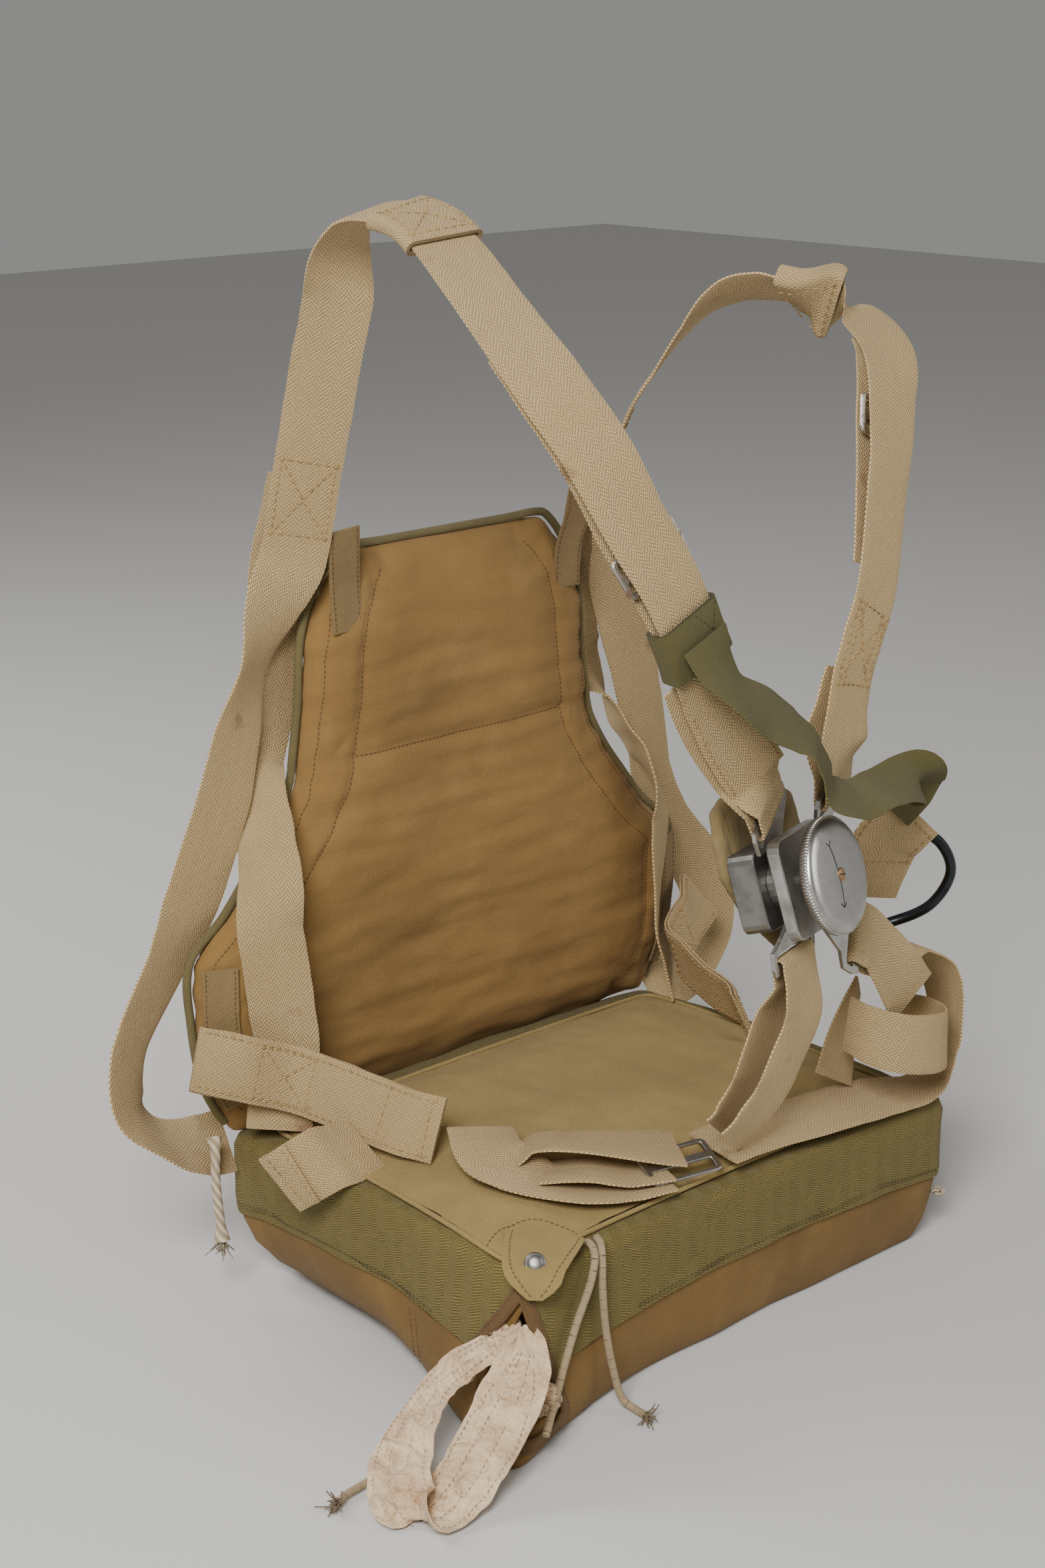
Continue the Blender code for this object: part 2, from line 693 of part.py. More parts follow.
HIP_FREE_END = (
    (-198, 33, 128.9, 123, 38),
    (-215, 34, 129, 123, 38),
    (-228, 41, 122, 125, 32),
    (-235, 54, 112, 128, 27),
)
LEG_BUNDLE = (
    (-128, -22, 143, -46, -8),
    (-143, -50, 138, -41, 7),
    (-141, -74, 134, -15, 2),
    (-122, -104, 125.5, 47, -3),
    (-90, -120, 122.4, 44, -1),
)
LEG_MIDDLE = (
    (-128, -80, 139.8, 25, -6),
    (-106, -101, 133, 42, -4),
    (-83, -115, 128, 46, -3),
)
LEG_TONGUE = (
    (-124, -58, 146.2, 47, -11),
    (-104, -83, 146, 47, -8),
    (-80, -102, 143, 47, -2),
    (-62, -115, 139.5, 47, 2),
)
LEG_LUG_FRONT = (
    (27, -167, 222, 8, -8),
    (16, -164, 196, 8, -8),
    (6, -160, 173, 8, -8),
    (-12, -156, 155, 8, -8),
    (-24, -151, 143, 8, -8),
)
LEG_LUG_BACK = (
    (19, -150, 225, 8, -8),
    (8, -147, 196, 8, -8),
    (0, -144, 174, 8, -8),
    (-16, -141, 157, 8, -8),
    (-24, -137, 149, 8, -8),
)
FRONT_STRAP = (
    (-16, -129, 129, 90, 8),
    (20, -130, 129, 90, 10),
    (66, -136, 128, 90, 12),
    (110, -138, 125, 90, 13),
    (149, -138, 121, 88, 12),
    (178, -138, 117.2, 76, 4),
    (203, -136, 120, 68, -10),
    (220, -134, 134, 68, -18),
    (222, -134, 164, 69, -20),
    (214, -134, 190, 66, -28),
    (196, -134, 211, 62, -32),
    (172, -134, 229, 60, -14),
    (150, -139, 236, 54, 10),
    (125, -148.5, 242, 36, 36),
)
WIDE_PIECE = (
    (115, -163, 241, 20, 46),
    (133, -163, 220, 0, 50),
    (149, -160, 201, -12, 50),
)
FREE_LOOP = (
    (113, -134, 184, 90, 88),
    (113, -154, 181, 90, 88),
    (126, -170, 176, 90, 88),
    (152, -176, 170, 90, 88),
    (177, -170, 165, 90, 88),
    (191, -152, 163, 90, 88),
    (193, -134, 162, 90, 88),
    (187, -121, 161, 90, 88),
)
FRAYED_STRAP = (
    (150, -112, 196, 31, -22),
    (128, -118, 168, 14, -17),
    (112, -124, 139.2, 3, -18),
)
OLIVE_STRAP = (
    (-66, -158.8, 490, -5, 3),
    (-58, -162.2, 472, 8, 3),
    (-42, -169, 452, 28, 5),
    (-16, -170, 435, 19, 9),
    (5, -173, 422, 27, 10),
    (17, -177, 412, 35, 2),
    (26, -178, 397, 35, -3),
    (37, -178, 377, 27, -9),
    (58, -178, 368, 25, 5),
    (89, -175, 367, 37, 11),
    (118, -172, 366, 37, 17),
    (143, -164, 361, 20, 0),
    (157, -151, 352, -5, -18),
    (157.7, -144.5, 342.4, -17, -24),
    (148.2, -137.6, 330.3, -17, -24),
)
POCKET_STRAP = (
    (168, -141, 327, -17, -24),
    (151, -131, 306, -14, -24),
    (148, -123, 286, -12, -24),
    (146, -115, 264, -12, -24),
)
D_HANDLE = (
    (150, -123.9, 303.8),
    (178, -130, 309),
    (200, -139, 297),
    (213, -140, 272),
    (206, -128, 246),
    (188, -105, 231),
    (160, -98, 230),
    (148, -99, 250),
    (146, -108, 284),
)
SILK = (
    # x, y, z, turn, tilt of the width
    (-208.4, -154.6, 79, -45, 0),
    (-213, -159, 74, -45, 5),
    (-224, -166, 62, -50, 10),
    (-243, -172, 45, -55, 12),
    (-267, -177, 26, -60, 8),
    (-292, -181, 9, -62, 4),
    (-314, -184, 3.5, -64, 0),
    (-323, -177, 6, -50, 6),
    (-320, -161, 14, -40, 16),
    (-300, -141, 24, -38, 26),
    (-272, -127, 35, -36, 34),
    (-246, -122, 46, -34, 38),
    (-228, -126, 58, -34, 36),
)
CORD_A = (
    (-150, -146.5, 112.4),
    (-152, -153, 112),
    (-156, -159, 107),
    (-163, -162, 93),
    (-176, -164, 73),
    (-190, -168, 52),
    (-204, -174, 34),
    (-222, -184, 20),
)
CORD_A_FLOOR = (
    (-299.3, -136.1, 20.6),
    (-303, -131, 9),
    (-318, -128, 3.2),
    (-336, -130, 3.2),
    (-344, -133, 3.2),
)
CORD_B = (
    (-142, -146.5, 112.9),
    (-145, -153, 112.1),
    (-149, -158.5, 106),
    (-151, -161, 88),
    (-150, -163, 60),
    (-146, -166, 30),
    (-141, -170, 8),
    (-138, -178, 3.2),
    (-139, -188, 3.2),
)
WHITE_CORD = (
    (-232, 133, 118),
    (-234, 129, 108),
    (-236, 127.2, 89),
    (-236, 124, 62),
    (-236, 122, 46),
)


def lug_frame(head, away):
    """Place and directions of a lug's head, and where its root sits in the lock.

    away points from the lock along the webbing. The root stays in the gap between the lock's
    plate and base, in the flat plane of the lug.
    """
    head = Vector(head)
    up = Vector(away).normalized()
    out = (LOCK_OUT - up * LOCK_OUT.dot(up)).normalized()
    level = DISC_FACE - LOCK_OUT * LUG_DEPTH
    towards = head - level
    towards -= LOCK_OUT * towards.dot(LOCK_OUT)
    root = level + towards.normalized() * LUG_ROOT_RADIUS
    root -= LOCK_OUT * ((root - head).dot(out) / LOCK_OUT.dot(out))
    return head, out, up, root


def lug(name, head, away):
    """Flat steel lug: a narrow root held in the lock and a wide head with a slot for the webbing."""
    head, out, up, root = lug_frame(head, away)
    side = up.cross(out)
    foot = np.array([(root - head).dot(side), (root - head).dot(up)])
    line = foot - np.array([0.0, -16.0])
    line /= np.linalg.norm(line)
    beside = np.array([-line[1], line[0]]) * LUG_ROOT_HALF
    neck = [foot - line * 6.0 - beside, foot - beside, foot + beside, foot - line * 6.0 + beside]
    outline = [(29.5, -2.0), (27.5, 3.2), (-27.5, 3.2), (-29.5, -2.0), (-29.5, -13.0), (-19.0, -18.0)]
    outline += [tuple(p) for p in neck] + [(19.0, -18.0), (29.5, -13.0)]
    slot = [(x, y - 6.9) for x, y in rounded_box(25.8, 4.1, 2.0, 2)]
    plate(name, (outline, slot), LUG_THICK, frame_matrix(head, out, up), "steel", 0.4)


def fold(head, away, near=14.0):
    """Stations of webbing folded round a lug's bar, from the front layer to the back layer."""
    head, out, up, _ = lug_frame(head, away)
    side = up.cross(out)
    side = -side if side.x < 0 else side
    turn = math.degrees(math.atan2(side.y, side.x))
    tilt = math.degrees(math.asin(side.z))
    spots = ((near, FOLD_HALF + 0.5), (3.0, FOLD_HALF), (-4.4, 3.4), (-6.2, 0.0),
             (-4.4, -3.4), (3.0, -FOLD_HALF), (near, -FOLD_HALF - 0.5))
    return [(*(head + up * a + out * b), turn, tilt) for a, b in spots]


LUG_DEPTH = 38.5
LUG_ROOT_RADIUS = 18.6
LUG_ROOT_HALF = 7.0
LUG_THICK = 3.0
FOLD_HALF = 4.0
LUGS = {
    # middle of the head's bar, and the way the webbing leaves it
    "upper_right": ((14.0, -142.0, 361.0), (-0.46, -0.04, 0.885)),
    "upper_left": ((99.3, -125.0, 355.0), (-0.16, -0.16, 0.97)),
    "lower_right": ((24.0, -160.0, 261.0), (0.05, -0.10, -0.99)),
    "lower_left": ((92.0, -156.0, 261.0), (0.83, -0.05, -0.56)),
}

# Pad behind the lock: outline across and up in the plane of the lock
LOCK_PAD = (
    (-17, 56), (-23, 34), (-23, 12), (-12, -10), (4, -29), (22, -48), (50, -54),
    (76, -46), (88, -18), (92, 16), (88, 44), (70, 58), (30, 62), (0, 62),
)


def lock():
    """Quick-release lock: base, plate, pressed and turned disc, four lugs and the pad behind it."""
    out = LOCK_OUT

    def at(depth):
        return frame_matrix(DISC_FACE - out * depth, out)

    square = rounded_box(PLATE_HALF, PLATE_HALF, 7.0)
    bore = rounded_box(SPINDLE_RADIUS + 1.7, SPINDLE_RADIUS + 1.7, SPINDLE_RADIUS + 1.69, 4)
    plate("lock_plate", (square, bore), PLATE_THICK, at(PLATE_DEPTH + PLATE_THICK / 2), "dark_steel", 0.8)
    plate("lock_base", (rounded_box(BASE_HALF, BASE_HALF, 6.0), bore), BASE_THICK,
          at(BASE_DEPTH + BASE_THICK / 2), "dark_steel", 0.8)
    gap_front = PLATE_DEPTH + PLATE_THICK + 0.3
    gap_back = BASE_DEPTH - 0.3
    inner, outer = SPINDLE_RADIUS + 0.8, BOSS_RADIUS
    turned("lock_boss", ((inner, -gap_front), (outer, -gap_front), (outer, -gap_back),
                         (inner, -gap_back), (inner, -gap_front)), at(0.0), "dark_steel", 24)
    rod = SPINDLE_RADIUS
    spindle = turned("lock_spindle", ((0.0, -14.4), (rod, -14.4), (rod, -59.0), (rod - 1.5, -60.5),
                                      (0.0, -60.5)), at(0.0), "steel", 24)
    r = DISC_RADIUS
    disc = turned("lock_disc", ((0.0, 0.0), (r - 9.0, 0.0), (r - 2.0, -1.5), (r, -3.0), (r, -8.5),
                                (r - 2.0, -DISC_THICK), (17.0, -DISC_THICK), (16.0, -14.0), (0.0, -14.0)),
                  at(0.0), "steel", 48)
    press = bpy.data.objects.new("release_press", None)
    press.matrix_world = at(0.0)
    PARTS.objects.link(press)
    press_turn = bpy.data.objects.new("release_turn", None)
    press_turn.matrix_world = at(0.0)
    PARTS.objects.link(press_turn)
    for child, parent in ((spindle, press), (press_turn, press), (disc, press_turn)):
        child.parent = parent
        child.matrix_parent_inverse = parent.matrix_world.inverted()
    for side, (head, away) in LUGS.items():
        lug("lug_" + side, head, away)
    place = at(BASE_DEPTH + BASE_THICK + 10.4)
    middle = np.mean(LOCK_PAD, axis=0)
    rings = []
    for inset, height in ((2.0, 0.0), (0.0, 2.0), (0.0, 5.0), (3.0, 8.0), (14.0, 10.0)):
        ring = []
        for u, v in LOCK_PAD:
            arm = np.array([u, v]) - middle
            u2, v2 = middle + arm * (1 - inset / np.linalg.norm(arm))
            ring.append(tuple(c / MM for c in place @ Vector((u2 * MM, v2 * MM, height * MM))))
        rings.append(ring)
    loft("lock_pad", rings, "webbing_olive")


def slide_outlines():
    """Outer edge and the two windows of a webbing slide with its bar in the middle."""
    window = rounded_box(23.5, 4.6, 1.5, 2)
    return [rounded_box(SLIDE_HALF_X, SLIDE_HALF_Y, 3.5), [(x, y + 7.0) for x, y in window],
            [(x, y - 7.0) for x, y in window]]


def slide(name, frames):
    """Steel slide lying between the two layers of a sling."""
    middle, across, face = (part[1] for part in frames)
    place = middle - face * SLIDE_LIFT
    up = np.cross(face, across)
    plate(name, slide_outlines(), SLIDE_THICK, frame_matrix(place, face, up), "steel", 0.5)


def sling_right():
    """Stations of the right sling: pack, back, shoulder, front, round its lug and back up."""
    inner = [(-8, -140.5, 392, -12, 0), (-29, -141, 416, -14, 0),
             (-47, -141.5, 440, -10, 0), (-61, -142, 464, -5, 4)]
    return list(SLING_BACK) + list(SLING_RIGHT) + fold(*LUGS["upper_right"]) + inner


def sling_left():
    """Stations of the left sling, which follows a lower shoulder."""
    inner = [(94, -123, 391, 0, -10), (96, -127, 412, 5, -15), (103, -129.5, 437, 5, -15)]
    return mirrored(SLING_BACK[:-2]) + list(SLING_LEFT) + fold(*LUGS["upper_left"]) + inner


def harness():
    """All the webbing, each length from its hidden end to its free or sewn end."""
    right, left = webbing_frames(sling_right(), 2), webbing_frames(sling_left(), 2)
    ribbon("sling_right", right, WEBBING, WEB_THICK, "webbing")
    ribbon("sling_left", left, WEBBING, WEB_THICK, "webbing")
    sleeve("keeper_right", stretch(right, (-150, 0, 733), 46.0), (49.0, 6.0), 2.5, "webbing")
    sleeve("keeper_left", stretch(left, (174, -30, 666), 34.0, 4), (51.0, 11.0), 2.5, "webbing", 1.3)
    sleeve("olive_band", stretch(right, (-66, -149, 490), 36.0), (46.6, 14.0), 2.2, "webbing_olive", -3.2)
    ribbon("under_strap_right", stretch(right, (-116, -130, 585), 210.0, 10), WEBBING, WEB_THICK, "webbing",
           lift=[-3.3, -6, -8, -10, -10, -6.6])
    ribbon("under_strap_left", stretch(left, (160, -115, 580), 170.0, 10), WEBBING, WEB_THICK, "webbing",
           lift=[-3.3, -9, -12, -11, -8, -6])
    webbing("back_strap_right", BACK_STRAP, per_span=2, lift=[-3, -2, 0, 0, 0, 0, 0, 0, 0])
    webbing("back_strap_left", mirrored(BACK_STRAP), per_span=2, lift=[-3, -2, 0, 0, 0, 0, 0, 0, 0])
    webbing("hip_strap_right", HIP_STRAP, thickness=SEWN_THICK)
    webbing("hip_strap_left", mirrored(HIP_STRAP[:-1]) + [HIP_LEFT_END], thickness=SEWN_THICK)
    webbing("hip_free_end_right", HIP_FREE_END)
    slide("slide_right", stretch(right, (-88, -144, 532), 10.0, 2))
    slide("slide_left", stretch(left, (166, -108, 592), 10.0, 2))
    place = frame_matrix((-52, -132, 131.0), (-0.11, -0.40, 0.91), (0.2, 0.9, 0.4))
    plate("leg_slide", slide_outlines(), SLIDE_THICK, place, "steel", 0.5)
    webbing("leg_strap_bundle", LEG_BUNDLE)
    webbing("leg_strap_middle", LEG_MIDDLE)
    webbing("leg_strap_tongue", LEG_TONGUE)
    doubled = list(LEG_LUG_FRONT)[::-1] + fold(*LUGS["lower_right"]) + list(LEG_LUG_BACK)
    webbing("leg_strap_lug", doubled, per_span=2)
    doubled = list(FRONT_STRAP) + fold(*LUGS["lower_left"])[::-1] + list(WIDE_PIECE)
    webbing("front_strap", doubled, per_span=2)
    webbing("free_loop", FREE_LOOP, width=42.0)
    webbing("frayed_strap", FRAYED_STRAP)
    webbing("olive_strap", OLIVE_STRAP, "webbing_olive", OLIVE_WIDTH, OLIVE_THICK, 2)
    webbing("pocket_strap", POCKET_STRAP, "webbing_olive", 58.0, 2.5, 2)
    tube("d_handle", D_HANDLE, 7.5, "steel", rounds=2, closed=True, smooth_by=3)


def silk_and_cords():
    """Silk loop drawn from the corner, the elastic cords and the white tie."""
    frames = webbing_frames(SILK, 2)
    ribbon("silk_loop", frames, [6, 20, 36, 44, 44, 42, 40, 36, 34, 34, 34, 30, 24], 1.4, "silk")
    tube("elastic_cord_a", CORD_A, ELASTIC_DIAMETER, "cord_cream")
    tube("elastic_cord_a_end", CORD_A_FLOOR, ELASTIC_DIAMETER, "cord_cream")
    tube("elastic_cord_b", CORD_B, ELASTIC_DIAMETER, "cord_cream")
    tube("white_cord", WHITE_CORD, TIE_DIAMETER, "cord_white", radii=[1.9, 1.2, 1.0, 1.0, 1.0, 1.9, 1.5])
    knot = ((0.0, 4.5), (3.2, 3.2), (4.5, 0.0), (3.2, -3.2), (0.0, -4.5))
    turned("corner_knot", knot, frame_matrix((202.8, -149.9, 34.0), (0, 0, 1), (1, 0, 0)), "cord_white", 12)


def main():
    cutters = clear_scene()
    pack(cutters)
    seat_cushion()
    back_pad()
    harness()
    lock()
    silk_and_cords()


main()
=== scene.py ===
# %% [markdown]
# A packed seat parachute with its back pad, harness and quick-release lock.
# The solids of the part are loaded first and fix every place and size. Each soft solid is then
# replaced by cloth, webbing, padding or cord with its real weave, sewing and folds, and the
# metal pieces keep their solids and get their finish. Distances are in millimetres until a
# mesh is made, and every mesh is in metres.

# %% Load the frame
import math
import random

import bmesh
import bpy
import numpy as np
from mathutils import Matrix, Vector, noise
from mathutils.bvhtree import BVHTree


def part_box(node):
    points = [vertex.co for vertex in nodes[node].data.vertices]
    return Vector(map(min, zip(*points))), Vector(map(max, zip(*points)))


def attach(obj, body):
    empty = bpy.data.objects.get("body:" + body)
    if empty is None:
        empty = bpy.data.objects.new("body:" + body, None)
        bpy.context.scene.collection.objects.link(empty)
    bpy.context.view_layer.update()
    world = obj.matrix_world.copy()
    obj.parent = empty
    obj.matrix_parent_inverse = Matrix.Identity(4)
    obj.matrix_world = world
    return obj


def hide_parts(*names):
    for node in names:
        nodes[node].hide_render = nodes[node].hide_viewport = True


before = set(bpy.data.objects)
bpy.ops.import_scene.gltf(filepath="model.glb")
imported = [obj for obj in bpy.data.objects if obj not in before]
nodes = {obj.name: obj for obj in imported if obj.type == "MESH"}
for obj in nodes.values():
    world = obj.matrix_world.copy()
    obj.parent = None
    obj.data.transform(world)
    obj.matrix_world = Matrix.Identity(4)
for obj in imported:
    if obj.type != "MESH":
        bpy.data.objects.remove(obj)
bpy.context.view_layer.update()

MM = 0.001
TINY = 1e-9
print("pieces in the frame:", len(nodes))

# %% [markdown]
# The camera stands a little above the lock, to the wearer's right and in front. Its place and
# lens come from the sizes of the pack and of the lock in the picture: a lens of about 61 mm on
# a frame that is 36 mm high, 1.7 m away, so the pack's near corner looks large.

# %% Camera
CAMERA_AT = (-1.2233, -1.2271, 0.8713)
CAMERA_TURN = 0.7551
CAMERA_DOWN = 0.2923
LENS = 61.22

scene = bpy.context.scene
lens = bpy.data.cameras.new("camera")
lens.lens = LENS
lens.clip_start = 0.05
camera = bpy.data.objects.new("camera", lens)
scene.collection.objects.link(camera)
ahead = Vector((math.sin(CAMERA_TURN) * math.cos(CAMERA_DOWN),
                math.cos(CAMERA_TURN) * math.cos(CAMERA_DOWN), -math.sin(CAMERA_DOWN)))
camera.location = CAMERA_AT
camera.rotation_mode = "QUATERNION"
camera.rotation_quaternion = ahead.to_track_quat("-Z", "Y")
scene.camera = camera
print("camera looks along", [round(c, 3) for c in ahead])

# %% [markdown]
# A large softbox high on the left makes the main light, as the highlights on the straps show.
# A weaker one on the right lifts the lock, and a pale room fills the shadows. The floor is a
# plain pale sheet that belongs to the stage and not to the parachute.

# %% Light and floor
LIGHTS = (
    # name, place in metres, what it points at, size in metres, watts
    ("key_light", (-1.9, -1.3, 2.0), (0.0, 0.0, 0.35), 1.0, 92.0),
    ("fill_light", (1.7, -1.9, 1.2), (0.0, 0.0, 0.30), 1.4, 17.0),
    ("back_light", (-0.6, 1.9, 1.7), (0.0, 0.0, 0.40), 1.0, 30.0),
)
for name, place, target, size, watts in LIGHTS:
    lamp = bpy.data.lights.new(name, "AREA")
    lamp.size = size
    lamp.energy = watts
    light = bpy.data.objects.new(name, lamp)
    light.location = place
    light.rotation_mode = "QUATERNION"
    light.rotation_quaternion = (Vector(target) - Vector(place)).to_track_quat("-Z", "Y")
    scene.collection.objects.link(light)

world = bpy.data.worlds.new("room")
world.use_nodes = True
background = world.node_tree.nodes["Background"]
background.inputs["Color"].default_value = (0.93, 0.92, 0.90, 1.0)
background.inputs["Strength"].default_value = 0.29
scene.world = world

FLOOR_HALF = 6.0
FLOOR_Z = -0.0005
floor_mesh = bpy.data.meshes.new("floor")
floor_corners = [(x * FLOOR_HALF, y * FLOOR_HALF, FLOOR_Z) for x, y in ((-1, -1), (1, -1), (1, 1), (-1, 1))]
floor_mesh.from_pydata(floor_corners, [], [(0, 1, 2, 3)])
floor = bpy.data.objects.new("floor", floor_mesh)
scene.collection.objects.link(floor)
pale = bpy.data.materials.new("floor_paper")
pale.use_nodes = True
paper = pale.node_tree.nodes["Principled BSDF"]
paper.inputs["Base Color"].default_value = (0.60, 0.59, 0.57, 1.0)
paper.inputs["Roughness"].default_value = 0.85
floor_mesh.materials.append(pale)
print("lights:", [row[0] for row in LIGHTS])

# %% [markdown]
# Materials are small node trees. One helper adds any node with its values and links. The class
# starts a material and has short names for what every look is made of: arithmetic, two colours
# mixed, cloudy noise, stretched coordinates and relief.

# %% Helpers for materials


def add(tree, kind, sockets=None, **settings):
    """One node; sockets maps an input's name or number to a value or to another node's output."""
    node = tree.nodes.new(kind)
    for key, value in settings.items():
        setattr(node, key, value)
    for key, value in (sockets or {}).items():
        if isinstance(value, bpy.types.NodeSocket):
            tree.links.new(value, node.inputs[key])
        else:
            node.inputs[key].default_value = value
    return node


class Finish:
    """A new material with fixed values on its shader, and the nodes that its look needs."""

    def __init__(self, name, roughness, metallic=0.0, **sockets):
        self.material = bpy.data.materials.new(name)
        self.material.use_nodes = True
        self.tree = self.material.node_tree
        self.shader = self.tree.nodes["Principled BSDF"]
        self.shader.inputs["Roughness"].default_value = roughness
        self.shader.inputs["Metallic"].default_value = metallic
        for key, value in sockets.items():
            self.shader.inputs[key.replace("_", " ")].default_value = value
        self.where = add(self.tree, "ShaderNodeTexCoord").outputs["Object"]

    def split(self, vector):
        return tuple(add(self.tree, "ShaderNodeSeparateXYZ", {0: vector}).outputs)

    def flat(self):
        """Flat coordinates across and along the piece."""
        return self.split(add(self.tree, "ShaderNodeUVMap").outputs[0])[:2]

    def calc(self, operation, *values):
        return add(self.tree, "ShaderNodeMath", dict(enumerate(values)), operation=operation).outputs[0]

    def plus(self, one, other):
        return self.calc("ADD", one, other)

    def times(self, one, other):
        return self.calc("MULTIPLY", one, other)

    def sine(self, angle):
        return self.calc("SINE", angle)

    def mix(self, share, one, other):
        """Two colours mixed by a share from 0 to 1."""
        one, other = ((*c, 1.0) if isinstance(c, tuple) else c for c in (one, other))
        return add(self.tree, "ShaderNodeMix", {0: share, 6: one, 7: other}, data_type="RGBA").outputs[2]

    def cloud(self, scale, detail=3.0, low=0.35, high=0.65, where=None):
        """Soft noise stretched so that it runs from 0 to 1."""
        sockets = {"Vector": self.where if where is None else where, "Scale": scale, "Detail": detail}
        grain = add(self.tree, "ShaderNodeTexNoise", sockets)
        return add(self.tree, "ShaderNodeMapRange", {0: grain.outputs[0], 1: low, 2: high}).outputs[0]

    def stretched(self, scale):
        """Coordinates squeezed or stretched along the three axes."""
        return add(self.tree, "ShaderNodeMapping", {"Vector": self.where, "Scale": scale}).outputs[0]

    def bump(self, height, distance, under=None):
        """Relief of a height from 0 to 1, which is distance metres deep."""
        sockets = {"Height": height, "Distance": distance, "Strength": 1.0}
        if under is not None:
            sockets["Normal"] = under
        relief = add(self.tree, "ShaderNodeBump", sockets).outputs[0]
        self.tree.links.new(relief, self.shader.inputs["Normal"])
        return relief

    def painted(self, colour):
        self.tree.links.new(colour, self.shader.inputs["Base Color"])
        return self.material


print("material helpers are ready")

# %% [markdown]
# Harness webbing is a thick flat weave. Close up it is rows of small oval grains that lean one
# way and then the other, like barley in an ear. The tops of the grains are painted in a lit tone
# and the hollows between them in painted shade. Each strap carries its own flat coordinates in
# millimetres, across and along, so the grains follow every bend. Handling has left brown spots.

# %% Webbing
BROWN_SPOT = (0.20, 0.085, 0.035)


def webbing_finish(name, light, hollow_shade_and_fleck, soil, grain=(2.0, 3.0), lean=(5.6, 0.45), depth=0.0007, spots=0.0):
    """Woven grains with a painted lit tone on their tops and painted shade in their hollows; grain is their
    width and length in mm, lean is where they turn and how far.
    """
    look = Finish(name, 0.88, Sheen_Weight=0.06, Sheen_Roughness=0.5)
    across, along = look.flat()
    leaning = look.times(look.calc("PINGPONG", across, lean[0]), lean[1])
    a = look.times(across, math.pi / grain[0])
    b = look.times(look.plus(along, leaning), math.pi / grain[1])
    woven = look.times(look.sine(look.plus(a, b)), look.sine(look.calc("SUBTRACT", a, b)))
    corn = look.calc("POWER", look.calc("ABSOLUTE", woven), 0.75)
    fibre = look.cloud(900.0, 2.0, 0.3, 0.7)
    look.bump(look.plus(corn, look.times(fibre, 0.35)), depth)
    # painted light and shade: the lit tone on the grains' tops and the shaded tone in the hollows
    colour = look.mix(corn, hollow_shade_and_fleck, light)
    colour = look.mix(look.times(look.cloud(22.0, 4.0), 0.42), colour, soil)
    # random fibre flecks in the same shaded tone
    colour = look.mix(look.times(fibre, 0.22), colour, hollow_shade_and_fleck)
    if spots:
        colour = look.mix(look.times(look.cloud(30.0, 5.0, 0.68, 0.76), spots), colour, BROWN_SPOT)
    return look.painted(colour)


# For both webbings the first colour is the painted lit tone of the grains, the second the painted shade of
# their hollows, and the third real soil.
webbing_cream = webbing_finish("webbing_cream", (0.760, 0.570, 0.290), (0.300, 0.190, 0.075),
                               (0.500, 0.345, 0.150), spots=0.55)
webbing_olive = webbing_finish("webbing_olive", (0.165, 0.140, 0.028), (0.060, 0.050, 0.012),
                               (0.115, 0.095, 0.022), (0.9, 2.4), (38.0, 0.0), 0.0004)
print("webbing:", webbing_cream.name, webbing_olive.name)

# %% [markdown]
# The pack is brushed brown canvas with no visible weave, the band round its top is an olive
# herringbone tape, and the cushion and the tab are khaki twill. Cotton like this is never one
# colour: it is mottled over a hand's width, speckled close up and paler where it is rubbed.

# %% Canvas, tape and lining
COTTON = {"roughness": 0.92, "Sheen_Weight": 0.04, "Sheen_Roughness": 0.5}
EVEN = (0, 0, 0)


def canvas_finish(name, main, shade, rubbed, weave=0.0, weave_depth=0.00015, crease=0.0, squeeze=(1, 0, 0)):
    """Mottled cotton; weave is the pitch of its threads and crease the depth of its creases, in m."""
    look = Finish(name, **COTTON)
    colour = look.mix(look.times(look.cloud(9.0, 4.0, 0.36, 0.68), 0.6), main, shade)
    colour = look.mix(look.times(look.cloud(26.0, 6.0, 0.50, 0.72), 0.35), colour, rubbed)
    fine = look.cloud(700.0, 2.0, 0.3, 0.7)
    colour = look.mix(look.times(fine, 0.28), colour, shade)
    below = None
    if crease:
        squeezed = look.stretched([1 + 3 * share for share in squeeze])
        below = look.bump(look.cloud(14.0, 4.0, 0.3, 0.7, squeezed), crease)
    height = fine
    if weave:
        x, y, z = look.split(look.where)
        warp, weft = (look.sine(look.times(look.plus(side, z), 2 * math.pi / weave)) for side in (x, y))
        height = look.plus(fine, look.times(look.times(warp, weft), 0.6))
    look.bump(height, weave_depth, below)
    return look.painted(colour)


def tape_finish(name, main, hollow_shade_and_fleck, pale_tone, rib=1.7, bar=9.0, slope=0.42):
    """Herringbone tape: fine ribs that zigzag along the tape's own flat coordinates, in mm, with painted shade
    in the grooves between the ribs.
    """
    look = Finish(name, **COTTON)
    across, along = look.flat()
    zig = look.times(look.calc("PINGPONG", across, bar), slope)
    line = look.plus(look.plus(along, zig), look.times(look.cloud(60.0), 1.2))
    ribs = look.sine(look.times(line, 2 * math.pi / rib))
    ribs = look.plus(look.times(ribs, 0.5), 0.5)
    fibre = look.cloud(650.0, 2.0, 0.3, 0.7)
    # painted shade: the grooves between the ribs take the shaded tone and their crests the main tone
    colour = look.mix(ribs, hollow_shade_and_fleck, main)
    colour = look.mix(look.times(look.cloud(18.0, 5.0), 0.5), colour, pale_tone)
    # random fibre flecks in the same shaded tone
    colour = look.mix(look.times(fibre, 0.35), colour, hollow_shade_and_fleck)
    look.bump(look.plus(ribs, look.times(fibre, 0.5)), 0.0005)
    return look.painted(colour)


